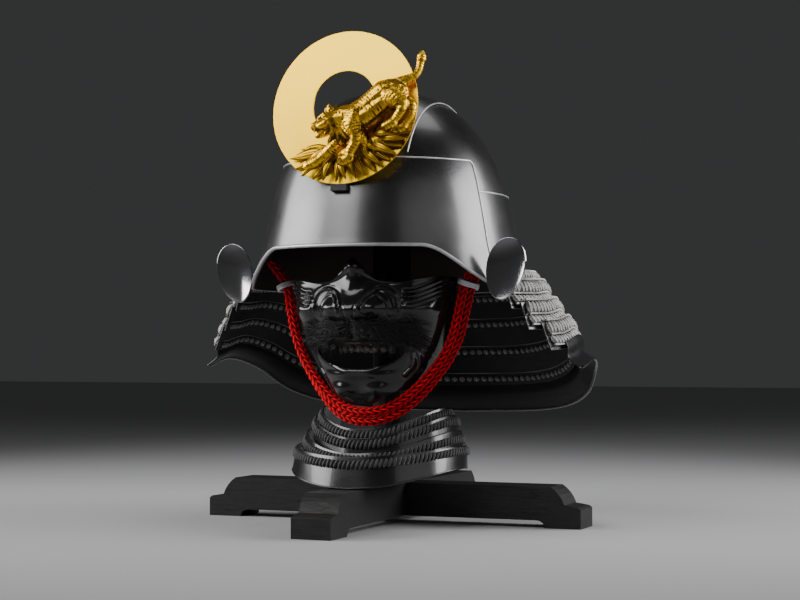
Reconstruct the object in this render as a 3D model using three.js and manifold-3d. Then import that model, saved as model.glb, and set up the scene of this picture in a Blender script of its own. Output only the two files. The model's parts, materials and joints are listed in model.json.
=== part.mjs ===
// A kabuto, the samurai helmet, with its fierce half mask, throat guard and crest, on a plain wooden stand.
// Millimetres, +Z up. The face looks along -Y, the wearer's left is +X, and the floor is z = 0.
import * as THREE from "three";
import { mergeVertices } from "three/addons/utils/BufferGeometryUtils.js";
import Module from "manifold-3d";

const wasm = await Module();
wasm.setup();

// ---- driving dimensions -------------------------------------------------------------------------
const GAP = 0.3; // clearance between neighbouring pieces

const STAND = { half: 198, thick: 39.5, high: 39.5, ledge: 20.3, step: 29.8, foot: 36.2, clear: 7.2 };
const POST = { radius: 19, top: 403, barHigh: 15, barZ: 212, barHalf: 74, barFront: -42 };

const BOWL = { rim: 258, apex: 426, halfWidth: 128, halfLength: 138, taper: 0.2135, centreY: -7, wall: 3 };
const CURVE = { crown: 4.6, round: 1.9 }; // exponents of the bowl's side profile
const BRIM = { front: 267, side: 231, from: 36, to: 70 }; // height of the lower edge, and degrees of its drop
const STRIP_HALF = 55; // crown strip, half its width
const STRIP_RISE = 1.4;
const BROW = { top: 350.5, end: 67.5, rise: 0.7 };
const REAR_TOP = 321;
const LINING = { gap: 3, wall: 2, low: 285 };

const FLAP = { x: 141.5, y: -74.5, z: 246, halfWide: 18.6, halfHigh: 29.5, thick: 2.2, lean: 13, dish: 3 };

const NECK = { top: 249, halfWidth: 199.5, halfLength: 200.5, bulge: -2, wall: 1.4, steps: 22 };
const LAP = { over: 0.045, shift: 3.5, lace: 2.2 }; // how each lame laps over the next, and its lacing

const CREST = { radius: 74, hole: 32, holeUp: 3, thick: 1.6, lean: 8, y: -123, z: 397.5 };

const MASK = { wall: 2.4, top: 234, bridge: 23, power: 0.72 };
const MOUTH = { z: 164, halfWide: 43, halfHigh: 12.5, smile: 4 };

const CORD = { radius: 4.6, sides: 8, steps: 25 };
const BINDING = { x: 96, y: -48, z: 233, halfWide: 8.6, halfDeep: 10.9, thick: 2, high: 6, lean: 20 };

// ---- materials ----------------------------------------------------------------------------------
const finish = (color, roughness, metalness) => {
  return new THREE.MeshStandardMaterial({ color, roughness, metalness });
};
const LACQUER = finish(0x17181a, 0.28, 0.35);
const MASK_LACQUER = finish(0x08080a, 0.14, 0.1);
const STEEL = finish(0x8d9094, 0.42, 0.8);
const GOLD = finish(0xd9b978, 0.38, 1);
const CAST_GOLD = finish(0xb98a2c, 0.36, 1);
const BLACK_IRON = finish(0x101010, 0.6, 0.4);
const GREY_LACE = finish(0x9a9b9d, 0.85, 0);
const BLACK_LACE = finish(0x141416, 0.85, 0);
const RED_CORD = finish(0xb3061c, 0.75, 0);
const WHITE_SILK = finish(0xdcdde2, 0.6, 0);
const HAIR = finish(0x0a0a0a, 0.8, 0);
const TEETH = finish(0xb8b09a, 0.4, 0);
const CLOTH = finish(0x2a1214, 0.95, 0);
const WOOD = finish(0x161514, 0.7, 0);

// ---- small tools --------------------------------------------------------------------------------
const rad = THREE.MathUtils.degToRad;
const mix = THREE.MathUtils.lerp;
const ease = THREE.MathUtils.smoothstep;
const bell = (distance, width) => Math.exp(-((distance / width) ** 2));

// A closed geometry as a manifold-3d solid, for joining and cutting.
function solid(geometry) {
  const plain = geometry.clone();
  plain.deleteAttribute("normal");
  plain.deleteAttribute("uv");
  const merged = mergeVertices(plain, 1e-3);
  const vertProperties = merged.attributes.position.array;
  const triVerts = new Uint32Array(merged.index.array);
  return new wasm.Manifold(new wasm.Mesh({ numProp: 3, vertProperties, triVerts }));
}

// A manifold-3d solid back as a geometry.
function shape(made) {
  const mesh = made.getMesh();
  const geometry = new THREE.BufferGeometry();
  geometry.setAttribute("position", new THREE.BufferAttribute(mesh.vertProperties, 3));
  geometry.setIndex(new THREE.BufferAttribute(mesh.triVerts, 1));
  return geometry;
}

const join = (solids) => solids.reduce((all, one) => all.add(one));
const box = (x0, x1, y0, y1, z0, z1) =>
  new THREE.BoxGeometry(x1 - x0, y1 - y0, z1 - z0).translate((x0 + x1) / 2, (y0 + y1) / 2, (z0 + z1) / 2);

// A closed wall: `near` and `far` give its two skins at (u, v), each from 0 to 1.
// A ring joins u = 1 to u = 0.
function wall(across, along, far, near, ring = false) {
  const points = [];
  const faces = [];
  const columns = ring ? across : across + 1;
  const index = (skin, i, j) => (skin * (along + 1) + j) * columns + (i % columns);
  for (const skin of [far, near])
    for (let j = 0; j <= along; j++)
      for (let i = 0; i < columns; i++) points.push(...skin(i / across, j / along).toArray());
  const quad = (a, b, c, d) => faces.push(a, b, c, a, c, d);
  for (let j = 0; j < along; j++)
    for (let i = 0; i < across; i++) {
      quad(index(0, i, j), index(0, i + 1, j), index(0, i + 1, j + 1), index(0, i, j + 1));
      quad(index(1, i, j + 1), index(1, i + 1, j + 1), index(1, i + 1, j), index(1, i, j));
    }
  for (let i = 0; i < across; i++) {
    quad(index(1, i, 0), index(1, i + 1, 0), index(0, i + 1, 0), index(0, i, 0));
    quad(index(0, i, along), index(0, i + 1, along), index(1, i + 1, along), index(1, i, along));
  }
  for (let j = 0; j < along && !ring; j++) {
    quad(index(0, 0, j), index(0, 0, j + 1), index(1, 0, j + 1), index(1, 0, j));
    quad(index(1, across, j), index(1, across, j + 1), index(0, across, j + 1), index(0, across, j));
  }
  const geometry = new THREE.BufferGeometry();
  geometry.setAttribute("position", new THREE.Float32BufferAttribute(points, 3));
  geometry.setIndex(faces);
  return geometry;
}

// The skin `offset` millimetres outside `skin`, along its own normals.
function raised(skin, offset) {
  const d = 1e-3;
  return (u, v) => {
    const along = skin(u + d, v).sub(skin(u - d, v));
    const up = skin(u, v + d).sub(skin(u, v - d));
    return skin(u, v).addScaledVector(along.cross(up).normalize(), offset);
  };
}

// A round bar whose radius follows `radii` through `points`, with pointed or blunt ends, as a solid.
function limb(points, radii, sides = 6, steps = 5) {
  const curve = new THREE.CatmullRomCurve3(points.map((p) => new THREE.Vector3(...p)));
  const frames = curve.computeFrenetFrames(steps, false);
  const thick = (t) => {
    const at = t * (radii.length - 1);
    const i = Math.min(Math.floor(at), radii.length - 2);
    return mix(radii[i], radii[i + 1], at - i);
  };
  const middle = [...Array(steps + 1).keys()].map((j) => curve.getPoint(j / steps));
  const vertices = [];
  const faces = [];
  middle.forEach((centre, j) => {
    for (let i = 0; i < sides; i++) {
      const turn = (2 * Math.PI * i) / sides;
      const out = frames.normals[j].clone().multiplyScalar(Math.cos(turn));
      out.addScaledVector(frames.binormals[j], Math.sin(turn));
      vertices.push(...centre.clone().addScaledVector(out, thick(j / steps)).toArray());
    }
  });
  for (let j = 0; j < steps; j++)
    for (let i = 0; i < sides; i++) {
      const [a, b] = [j * sides + i, j * sides + ((i + 1) % sides)];
      faces.push(a, b, b + sides, a, b + sides, a + sides);
    }
  for (let i = 1; i < sides - 1; i++) {
    const last = steps * sides;
    faces.push(0, i + 1, i, last, last + i, last + i + 1);
  }
  const geometry = new THREE.BufferGeometry();
  geometry.setAttribute("position", new THREE.Float32BufferAttribute(vertices, 3));
  geometry.setIndex(faces);
  return solid(geometry);
}

// A stretched ball: centre, half sizes and a turn about its own Y.
function ball(centre, half, turn = 0, detail = 6) {
  const geometry = new THREE.SphereGeometry(1, detail, Math.max(4, detail - 3));
  geometry.scale(...half).rotateY(rad(turn)).translate(...centre);
  return solid(geometry);
}

const helmet = new THREE.Group();
function place(name, geometry, material, group = helmet) {
  const mesh = new THREE.Mesh(geometry, material);
  mesh.name = name;
  group.add(mesh);
  return mesh;
}

// ---- stand --------------------------------------------------------------------------------------
// One board: a flat top, stepped hollow-cut ends and an arch that leaves two feet.
function board() {
  const { half, high, ledge, step, foot, clear, thick } = STAND;
  const corner = 8;
  const outline = new THREE.Shape();
  outline.moveTo(half, 0);
  outline.lineTo(half, ledge - 2);
  outline.lineTo(half - 3, ledge);
  outline.lineTo(half - 16, ledge + 2);
  outline.quadraticCurveTo(half - 20, high - 6, half - step, high);
  outline.lineTo(-half + step, high);
  outline.quadraticCurveTo(-half + 20, high - 6, -half + 16, ledge + 2);
  outline.lineTo(-half + 3, ledge);
  outline.lineTo(-half, ledge - 2);
  outline.lineTo(-half, 0);
  outline.lineTo(-half + foot, 0);
  outline.quadraticCurveTo(-half + foot, clear, -half + foot + corner, clear);
  outline.lineTo(half - foot - corner, clear);
  outline.quadraticCurveTo(half - foot, clear, half - foot, 0);
  const settings = { depth: thick, bevelEnabled: false, curveSegments: 4 };
  const geometry = new THREE.ExtrudeGeometry(outline, settings);
  return geometry.translate(0, 0, -thick / 2).rotateX(rad(90));
}

// The two boards cross at a half-lap: one keeps its upper half there, the other its lower half.
function stand() {
  const reach = STAND.thick / 2 + GAP;
  const middle = (STAND.high + STAND.clear) / 2;
  const under = box(-reach, reach, -60, 60, -5, middle);
  const over = box(-60, 60, -reach, reach, middle - GAP, STAND.high + 5);
  place("stand_board_wide", shape(solid(board()).subtract(solid(under))), WOOD);
  const deep = solid(board().rotateZ(rad(90)));
  place("stand_board_deep", shape(deep.subtract(solid(over))), WOOD);
}

// The plain post that holds the bowl, with a cross bar that the mask and its cords are tied to.
function post() {
  const foot = STAND.high + GAP;
  const stick = new THREE.CylinderGeometry(POST.radius, POST.radius, POST.top - foot, 16);
  stick.rotateX(rad(90)).translate(0, BOWL.centreY, (POST.top + foot) / 2);
  const pad = new THREE.CylinderGeometry(26, 38, 10, 16).rotateX(rad(90));
  pad.translate(0, BOWL.centreY, POST.top);
  const barTop = POST.barZ + POST.barHigh;
  const bar = box(-POST.barHalf, POST.barHalf, POST.barFront, BOWL.centreY, POST.barZ, barTop);
  place("support_post", shape(join([stick, pad, bar].map(solid))), WOOD);
}

// ---- bowl ---------------------------------------------------------------------------------------
// Height of the bowl's lower edge: arched over the face, lower at the sides and back.
const brimHeight = (degrees) => mix(BRIM.front, BRIM.side, ease(Math.abs(degrees), BRIM.from, BRIM.to));

// The bowl's outer face, raised by `rise`, at a bearing in degrees from the face and a height.
function bowlPoint(degrees, z, rise = 0) {
  const up = z - BOWL.rim;
  const t = THREE.MathUtils.clamp(up / (BOWL.apex + rise - BOWL.rim), 0, 1);
  const round = (1 - t ** CURVE.crown) ** (1 / CURVE.round);
  const flare = up < 14 ? ((14 - up) / 14) ** 1.2 * 1.1 : 0;
  const halfWidth = (BOWL.halfWidth - BOWL.taper * up) * round + flare + rise;
  const halfLength = (BOWL.halfLength - BOWL.taper * up) * round + flare + rise;
  const turn = rad(degrees);
  return new THREE.Vector3(halfWidth * Math.sin(turn), BOWL.centreY - halfLength * Math.cos(turn), z);
}

// The bowl filled solid, its faces raised by `rise`.
function bowlBody(rise, low = brimHeight, segments = 32) {
  const levels = [0, 0.09, 0.4, 0.62, 0.77, 0.875, 0.945, 0.985];
  const apex = BOWL.apex + rise;
  const points = [];
  const faces = [];
  for (const level of levels)
    for (let i = 0; i < segments; i++) {
      const degrees = (360 * i) / segments;
      const bearing = degrees > 180 ? degrees - 360 : degrees;
      points.push(...bowlPoint(bearing, mix(low(bearing), apex, level), rise).toArray());
    }
  const ringStart = (j) => j * segments;
  for (let j = 0; j < levels.length - 1; j++)
    for (let i = 0; i < segments; i++) {
      const [a, b] = [ringStart(j) + i, ringStart(j) + ((i + 1) % segments)];
      faces.push(a, b, b + segments, a, b + segments, a + segments);
    }
  const crown = points.length / 3;
  points.push(0, BOWL.centreY, apex);
  const floor = crown + 1;
  points.push(0, BOWL.centreY, low(90) - 0.01);
  for (let i = 0; i < segments; i++) {
    const next = (i + 1) % segments;
    faces.push(ringStart(levels.length - 1) + i, ringStart(levels.length - 1) + next, crown);
    faces.push(next, i, floor);
  }
  const geometry = new THREE.BufferGeometry();
  geometry.setAttribute("position", new THREE.Float32BufferAttribute(points, 3));
  geometry.setIndex(faces);
  return solid(geometry);
}

// A prism over the bearings up to `degrees` either side of the face.
function frontWedge(degrees, z0, z1) {
  const far = 400;
  const outline = new THREE.Shape();
  outline.moveTo(0, BOWL.centreY);
  outline.lineTo(-far * Math.sin(rad(degrees)), BOWL.centreY - far * Math.cos(rad(degrees)));
  outline.lineTo(-far, -far);
  outline.lineTo(far, -far);
  outline.lineTo(far * Math.sin(rad(degrees)), BOWL.centreY - far * Math.cos(rad(degrees)));
  const geometry = new THREE.ExtrudeGeometry(outline, { depth: z1 - z0, bevelEnabled: false });
  return solid(geometry.translate(0, 0, z0));
}

function bowl() {
  const lower = (drop) => (degrees) => brimHeight(degrees) - drop;
  const hollow = bowlBody(-BOWL.wall, lower(12), 24);
  const shell = (rise) => bowlBody(rise).subtract(hollow);
  const [low, high, far] = [150, 500, 300];
  const strip = (grow) => {
    const half = STRIP_HALF + grow;
    const front = solid(box(-half, half, -far, 0, BROW.top + GAP - grow, high));
    return front.add(solid(box(-half, half, -1, far, REAR_TOP + GAP - grow, high)));
  };
  const brow = (grow) => frontWedge(BROW.end + grow / 2, low, BROW.top + grow);
  const rear = (grow) => solid(box(-far, far, -far, far, low, REAR_TOP + grow)).subtract(brow(GAP - grow));
  place("bowl_brow_plate", shape(shell(BROW.rise).intersect(brow(0))), LACQUER);
  place("bowl_crown_strip", shape(shell(STRIP_RISE).intersect(strip(0))), LACQUER);
  place("bowl_rear_band", shape(shell(BROW.rise).intersect(rear(0))), LACQUER);
  const rest = shell(0).subtract(strip(GAP)).subtract(brow(GAP)).subtract(rear(GAP));
  const sides = { left: box(0, far, -far, far, low, high), right: box(-far, 0, -far, far, low, high) };
  for (const [side, half] of Object.entries(sides))
    place("bowl_side_plate_" + side, shape(rest.intersect(solid(half))), LACQUER);
  const inside = -BOWL.wall - LINING.gap;
  const level = () => LINING.low;
  const room = bowlBody(inside - LINING.wall, () => LINING.low - 1, 12);
  const cloth = bowlBody(inside, level, 12).subtract(room);
  place("bowl_lining", shape(cloth), CLOTH);
}

// ---- turn-backs beside the brow -----------------------------------------------------------------
// An upright oval plate, a little narrower below, dished, with a tongue to the neck guard's top lame.
function turnBack(side) {
  const rounds = 12;
  const rings = 2;
  const oval = (angle, ring) => {
    const across = FLAP.halfWide * (1 + 0.1 * Math.sin(angle)) * ring;
    return [across * Math.cos(angle), FLAP.halfHigh * ring * Math.sin(angle)];
  };
  const skin = (back) => (u, v) => {
    const ring = mix(1, 0.04, v);
    const [x, z] = oval(2 * Math.PI * u, ring);
    return new THREE.Vector3(x, FLAP.dish * (ring * ring - 1) * -1 + back, z);
  };
  const plate = solid(wall(rounds, rings, skin(0), skin(FLAP.thick), true));
  const core = ball([0, FLAP.dish + FLAP.thick / 2, 0], [2.5, FLAP.thick * 0.45, 3.5], 0, 8);
  const tongue = solid(box(-8, -1, 2, 7, -16, -4));
  const geometry = shape(join([plate, core, tongue]));
  if (side < 0) {
    geometry.scale(-1, 1, 1);
    geometry.index.array.reverse();
  }
  const mesh = place("turn_back_" + (side > 0 ? "left" : "right"), geometry, STEEL);
  mesh.position.set(side * FLAP.x, FLAP.y, FLAP.z);
  mesh.rotation.y = side * rad(FLAP.lean);
}

// ---- neck guard ---------------------------------------------------------------------------------
// Height of the neck guard's lower edge by bearing: arched over the shoulders and low at the nape.
const NECK_EDGE = [
  { bearing: 50, z: 150 },
  { bearing: 84, z: 153 },
  { bearing: 97, z: 161 },
  { bearing: 110, z: 151 },
  { bearing: 122, z: 128 },
  { bearing: 135, z: 114 },
  { bearing: 152, z: 106 },
  { bearing: 180, z: 103 },
];

// The lames from the bowl down: where each starts and ends down the slope, and the bearing of its front ends.
const LAMES = [
  { name: "1", from: 0.05, to: 0.2, end: 70 },
  { name: "2", from: 0.2, to: 0.4, end: 68 },
  { name: "3", from: 0.4, to: 0.6, end: 71 },
  { name: "4", from: 0.6, to: 0.8, end: 76 },
  { name: "5", from: 0.8, to: 1, end: 83 },
];

function neckEdge(bearing) {
  const away = Math.abs(THREE.MathUtils.euclideanModulo(bearing + 180, 360) - 180);
  const next = NECK_EDGE.findIndex((row) => row.bearing >= away);
  const [a, b] = [NECK_EDGE[Math.max(next - 1, 0)], NECK_EDGE[Math.max(next, 1)]];
  return mix(a.z, b.z, ease(away, a.bearing, b.bearing));
}

// The mean surface of the neck guard, from the bowl (slope 0) to its lower edge (slope 1).
function neckPoint(bearing, slope) {
  const top = bowlPoint(bearing, NECK.top, 2.5);
  const turn = rad(bearing);
  const x = NECK.halfWidth * Math.sin(turn);
  const y = -NECK.halfLength * Math.cos(turn);
  const low = new THREE.Vector3(x, y, neckEdge(bearing));
  const point = top.lerp(low, slope);
  const out = NECK.bulge * Math.sin(Math.PI * Math.min(slope, 1));
  return point.add(new THREE.Vector3(Math.sin(turn) * out, -Math.cos(turn) * out, 0));
}

function neckGuard() {
  LAMES.forEach((lame, row) => {
    const start = lame.from - (row ? LAP.over : 0);
    const middle = (u, v) => neckPoint(mix(-lame.end, lame.end - 360, u), mix(start, lame.to, v));
    const lead = row ? LAP.shift : 0;
    const skin = (offset) => (u, v) => raised(middle, offset + mix(lead, -LAP.shift, v))(u, v);
    const last = row === LAMES.length - 1;
    const plate = wall(NECK.steps, last ? 2 : 1, skin(NECK.wall), skin(0));
    place("neck_guard_lame_" + lame.name, plate, LACQUER);
    if (last) return;
    const from = NECK.wall + 3 * GAP;
    const cover = (offset) => (u, v) => skin(offset)(u, 0).lerp(skin(offset)(u, 1), mix(0.01, 0.84, v));
    const lacing = wall(NECK.steps, 1, cover(from + LAP.lace), cover(from));
    place("neck_guard_lacing_" + lame.name, lacing, GREY_LACE);
  });
}

// ---- crest --------------------------------------------------------------------------------------
// Everything on the crest is built facing -Y around the disc's centre, and leans back as one group.
function disc() {
  const outline = new THREE.Shape().absarc(0, 0, CREST.radius, 0, 2 * Math.PI);
  outline.holes.push(new THREE.Path().absarc(0, CREST.holeUp, CREST.hole, 0, 2 * Math.PI));
  const settings = { depth: CREST.thick, bevelEnabled: false, curveSegments: 21 };
  const geometry = new THREE.ExtrudeGeometry(outline, settings);
  return geometry.rotateX(rad(90));
}

// The tiger's bars: points are across, out from the disc and up from its centre.
const TIGER_BARS = [
  { what: "back", points: [[52, 14, 14], [38, 15, 8], [24, 15, -4], [12, 15, -13]], radii: [9, 10, 10.5, 9] },
  { what: "neck", points: [[14, 15, -12], [4, 17, -17], [-6, 18, -24]], radii: [9.5, 9, 8] },
  { what: "muzzle", points: [[-6, 19, -25], [-14, 20, -29], [-19, 20, -31]], radii: [7, 5.4, 4] },
  { what: "jaw", points: [[-4, 18, -31], [-11, 18, -37], [-15, 18, -39]], radii: [4, 3, 2.2] },
  { what: "ear", points: [[-8, 17, -16], [-12, 17, -8]], radii: [3.4, 1.2] },
  { what: "ear", points: [[2, 21, -14], [1, 22, -6]], radii: [3.4, 1.2] },
  {
    what: "tail",
    points: [[52, 12, 17], [67, 8, 21], [74, 6, 28], [75, 6, 38], [76, 6, 45]],
    radii: [4.2, 3, 3.6],
  },
  {
    what: "near hind leg",
    points: [[52, 16, 10], [57, 18, -1], [63, 16, -14], [57, 18, -24]],
    radii: [9, 7, 4, 3.4],
  },
  {
    what: "far hind leg",
    points: [[56, 8, 12], [69, 8, -3], [70, 8, -14], [66, 9, -22]],
    radii: [7, 5, 3.2, 3],
  },
  { what: "near fore leg", points: [[14, 18, -16], [20, 20, -34], [17, 18, -54]], radii: [8, 5, 4] },
  { what: "far fore leg", points: [[10, 9, -20], [-6, 10, -40], [-24, 12, -58]], radii: [7, 4.6, 4] },
];

// The bamboo leaves: root and tip across and up, and how far the tip stands out from the disc.
const LEAVES = [
  { root: [8, -48], tip: [-43, -46], out: 6 },
  { root: [4, -52], tip: [-38, -58], out: 12 },
  { root: [-2, -46], tip: [-30, -34], out: 5 },
  { root: [6, -54], tip: [-14, -71], out: 12 },
  { root: [10, -54], tip: [2, -72], out: 8 },
  { root: [14, -54], tip: [18, -74], out: 13 },
  { root: [20, -50], tip: [34, -71], out: 9 },
  { root: [24, -48], tip: [48, -62], out: 13 },
  { root: [26, -44], tip: [60, -50], out: 8 },
  { root: [30, -38], tip: [66, -36], out: 12 },
  { root: [34, -32], tip: [64, -20], out: 7 },
  { root: [30, -34], tip: [48, -14], out: 5 },
];

// A pointed leaf with a raised rib: a stretched six-sided spindle.
function leaf({ root, tip, out }) {
  const length = Math.hypot(tip[0] - root[0], tip[1] - root[1]);
  const geometry = new THREE.SphereGeometry(1, 4, 3).scale(length / 2, 2.6, length * 0.15);
  geometry.rotateY(-Math.atan2(tip[1] - root[1], tip[0] - root[0]));
  geometry.translate((root[0] + tip[0]) / 2, -out, (root[1] + tip[1]) / 2);
  return solid(geometry);
}

function tiger() {
  const bars = TIGER_BARS.map(({ points, radii }) =>
    limb(points.map(([across, out, up]) => [across, -out, up]), radii, 5, radii.length));
  const bodies = [
    ball([47, -15, 11], [13, 9, 11], -35),
    ball([16, -16, -13], [13, 10, 12], -30),
    ball([-4, -18, -23], [9, 8, 9]),
    ball([-26, -13, -60], [6, 4, 4]),
    ball([15, -18, -57], [5.5, 4, 4]),
    ball([55, -18, -26], [5.5, 4, 3.5]),
    ball([76, -6, 45], [4, 4, 5]),
  ];
  const ground = ball([14, -6, -46], [40, 9, 17], -8, 10);
  const pegs = [ball([52, -6, 6], [8, 7, 8]), ball([20, -6, -24], [10, 8, 14])];
  const cast = join([...bars, ...bodies, ground, ...pegs, ...LEAVES.map(leaf)]);
  const behind = solid(box(-120, 120, -CREST.thick - GAP, 40, -120, 120));
  return shape(cast.subtract(behind));
}

function crest() {
  const group = new THREE.Group();
  group.position.set(0, CREST.y, CREST.z);
  group.rotation.x = -rad(CREST.lean);
  helmet.add(group);
  place("crest_disc", disc(), GOLD, group);
  place("crest_tiger", tiger(), CAST_GOLD, group);
  const low = -CREST.radius;
  const block = box(-8, 8, -4.6, 12, low - 6.5, low - GAP);
  const backing = box(-5, 5, GAP, 2.2, low - 3, low + 14);
  group.updateMatrixWorld(true);
  const holder = shape(solid(block).add(solid(backing))).applyMatrix4(group.matrixWorld);
  place("crest_holder", shape(solid(holder).subtract(bowlBody(BROW.rise + GAP))), BLACK_IRON);
}

// ---- mask ---------------------------------------------------------------------------------------
// Level sections of the mask: half width, and how far forward its middle and its edges lie.
const MASK_ROWS = [
  { z: 262, half: 83, front: -101, edge: -44 },
  { z: 236, half: 82, front: -103, edge: -42 },
  { z: 205, half: 78, front: -104, edge: -38 },
  { z: 172, half: 68, front: -98, edge: -34 },
  { z: 146, half: 54, front: -92, edge: -34 },
  { z: 130, half: 42, front: -88, edge: -40 },
  { z: 118.5, half: 30, front: -80, edge: -48 },
];

// The carved forms: a swelling of `out` millimetres around (x, z), mirrored to the other side.
const MASK_FORMS = [
  { what: "brow knot", x: 0, z: 252, wide: 9, high: 8, out: 8 },
  { what: "bridge", x: 0, z: 232, wide: 10, high: 16, out: 6 },
  { what: "nose", x: 0, z: 208, wide: 12, high: 13, out: 15 },
  { what: "nostril wing", x: 19, z: 208, wide: 8.5, high: 10, out: 8 },
  { what: "cheek", x: 48, z: 218, wide: 20, high: 14, out: 8 },
  { what: "cheek hollow", x: 40, z: 190, wide: 16, high: 12, out: -4 },
  { what: "upper lip", x: 18, z: 181, wide: 24, high: 5, out: 5 },
  { what: "lower lip", x: 14, z: 148, wide: 22, high: 4.5, out: 6 },
  { what: "mouth corner fold", x: 54, z: 160, wide: 7, high: 14, out: 5 },
  { what: "chin", x: 10, z: 131, wide: 15, high: 9, out: 8 },
];

function maskRow(z) {
  const i = THREE.MathUtils.clamp(MASK_ROWS.findIndex((row) => row.z < z) - 1, 0, MASK_ROWS.length - 2);
  const j = z <= MASK_ROWS[MASK_ROWS.length - 1].z ? MASK_ROWS.length - 2 : i;
  const [a, b] = [MASK_ROWS[j], MASK_ROWS[j + 1]];
  const t = (a.z - z) / (a.z - b.z);
  return { half: mix(a.half, b.half, t), front: mix(a.front, b.front, t), edge: mix(a.edge, b.edge, t) };
}

function maskPoint(u, v) {
  const turn = rad(mix(-90, 90, u));
  const x0 = Math.sin(turn);
  const top = MASK.top + MASK.bridge * bell(x0 * 84, 15) + 6 * ease(Math.abs(x0), 0.5, 1);
  const z = mix(MASK_ROWS[MASK_ROWS.length - 1].z + 14 * ease(Math.abs(x0), 0.3, 1), top, v);
  const row = maskRow(z);
  const x = row.half * x0;
  const y = mix(row.edge, row.front, Math.max(Math.cos(turn), 0) ** MASK.power);
  const out = MASK_FORMS.reduce((sum, form) => {
    const near = bell(Math.abs(x) - form.x, form.wide) * bell(z - form.z, form.high);
    return sum + form.out * near;
  }, 0);
  return new THREE.Vector3(x, y - out, z);
}

// The open mouth: a long oval whose corners turn up.
function mouthCut() {
  const outline = new THREE.Shape();
  const steps = 24;
  for (let i = 0; i < steps; i++) {
    const turn = (2 * Math.PI * i) / steps;
    const x = MOUTH.halfWide * Math.cos(turn);
    const z = MOUTH.halfHigh * Math.sin(turn) + MOUTH.smile * (x / MOUTH.halfWide) ** 2;
    if (i) outline.lineTo(x, z);
    else outline.moveTo(x, z);
  }
  const geometry = new THREE.ExtrudeGeometry(outline, { depth: 120, bevelEnabled: false });
  return solid(geometry.rotateX(rad(90)).translate(0, -20, MOUTH.z));
}

function mask() {
  const behind = (u, v) => maskPoint(u, v).add(new THREE.Vector3(0, MASK.wall, 0)).multiply(
    new THREE.Vector3(1 - MASK.wall / 84, 1, 1));
  const shell = solid(wall(22, 16, maskPoint, behind));
  place("mask_shell", shape(shell.subtract(mouthCut())), MASK_LACQUER);
}

// The upper teeth, side by side on a curved strip behind the lip.
function teeth() {
  const count = 6;
  const row = [...Array(count).keys()].map((i) => {
    const turn = rad(mix(-28, 28, i / (count - 1)));
    const tooth = new THREE.CylinderGeometry(4.6, 3.4, 8, 4).rotateX(rad(90));
    tooth.rotateZ(rad(45)).scale(1, 0.7, 1);
    return solid(tooth.rotateZ(turn).translate(46 * Math.sin(turn), -38 - 43 * Math.cos(turn), MOUTH.z + 9));
  });
  const line = [[-26, -72, 177], [-13, -79, 176], [0, -81, 175.5], [13, -79, 176], [26, -72, 177]];
  const gum = limb(line, [2.4, 2.4], 5, 6);
  place("mask_upper_teeth", shape(join([...row, gum])), TEETH);
}

// One side's locks start beside the nose and droop past the mouth's corner; each row is a lock's line.
const LOCKS = [
  { lift: 4, reach: 62, droop: 5, out: 3 },
  { lift: -4, reach: 60, droop: 15, out: 3 },
];

function moustache() {
  const surface = (x, z) => {
    const across = 0.5 + Math.asin(Math.min(x / maskRow(z).half, 0.99)) / Math.PI;
    return maskPoint(across, (z - 118.5) / 120);
  };
  const side = (way) => LOCKS.map(({ lift, reach, droop, out }) => {
    const line = [0, 0.35, 0.7, 1].map((t) => {
      const z = 190 + lift - droop * t ** 1.6;
      return [way * reach * t, surface(reach * t, z).y - out, z];
    });
    return limb(line, [5.5, 6, 5, 1.6], 5, 3);
  });
  const face = raised(maskPoint, 1.5 * GAP);
  const behind = solid(wall(22, 16, face, (u, v) => face(u, v).setY(-20)));
  place("mask_moustache", shape(join([...side(1), ...side(-1)]).subtract(behind)), HAIR);
}

// ---- throat guard -------------------------------------------------------------------------------
// Each lame's top and lower edge: centre y, radius, height in front, and how much the sides rise.
const THROAT = [
  { name: "1", top: [-22, 62, 94, 20], low: [-22, 65.5, 76, 20] },
  { name: "2", top: [-22, 68.5, 85.7, 21], low: [-23, 70.8, 67, 20] },
  { name: "3", top: [-26, 75.4, 72, 20], low: [-29, 77.4, 58, 12] },
  { name: "4", top: [-33, 82.4, 69.6, 8], low: [-38.6, 84.5, 40, 16] },
];
const THROAT_WRAP = { end: 112, steps: 16, wall: 1.2, lace: 2.2, start: 0.1, reach: 8.5 };

function throatGuard() {
  for (const { name, top, low } of THROAT) {
    const skin = (end, v0, v1, out) => (u, v) => {
      const bearing = rad(mix(end, -end, u));
      const [y, radius, z, rise] = top.map((value, i) => mix(value, low[i], mix(v0, v1, v)));
      const reach = radius + out;
      const side = Math.sin(bearing) ** 2;
      return new THREE.Vector3(reach * Math.sin(bearing), y - reach * Math.cos(bearing), z + rise * side);
    };
    const { end, steps, wall: thick, lace, start, reach } = THROAT_WRAP;
    place("throat_guard_lame_" + name, wall(steps, 1, skin(end, 0, 1, thick), skin(end, 0, 1, 0)), LACQUER);
    const stop = start + reach / (top[2] - low[2]);
    const from = thick + GAP;
    const lacing = wall(steps, 1, skin(end - 1, start, stop, from + lace), skin(end - 1, start, stop, from));
    place("throat_guard_lacing_" + name, lacing, BLACK_LACE);
  }
}

// ---- chin cord ----------------------------------------------------------------------------------
// The doubled cord's middle line from the left side of the bowl down to the chin; the right side mirrors it.
const CORD_LINE = [
  [114, -50, 258],
  [104, -49, 246],
  [96, -48, 233],
  [91, -50, 211],
  [85.5, -51, 187],
  [77, -53, 166],
  [66, -57, 149],
  [52, -62, 132],
  [36, -68, 117.5],
  [18, -73, 108.5],
  [0, -75, 106],
];

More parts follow.
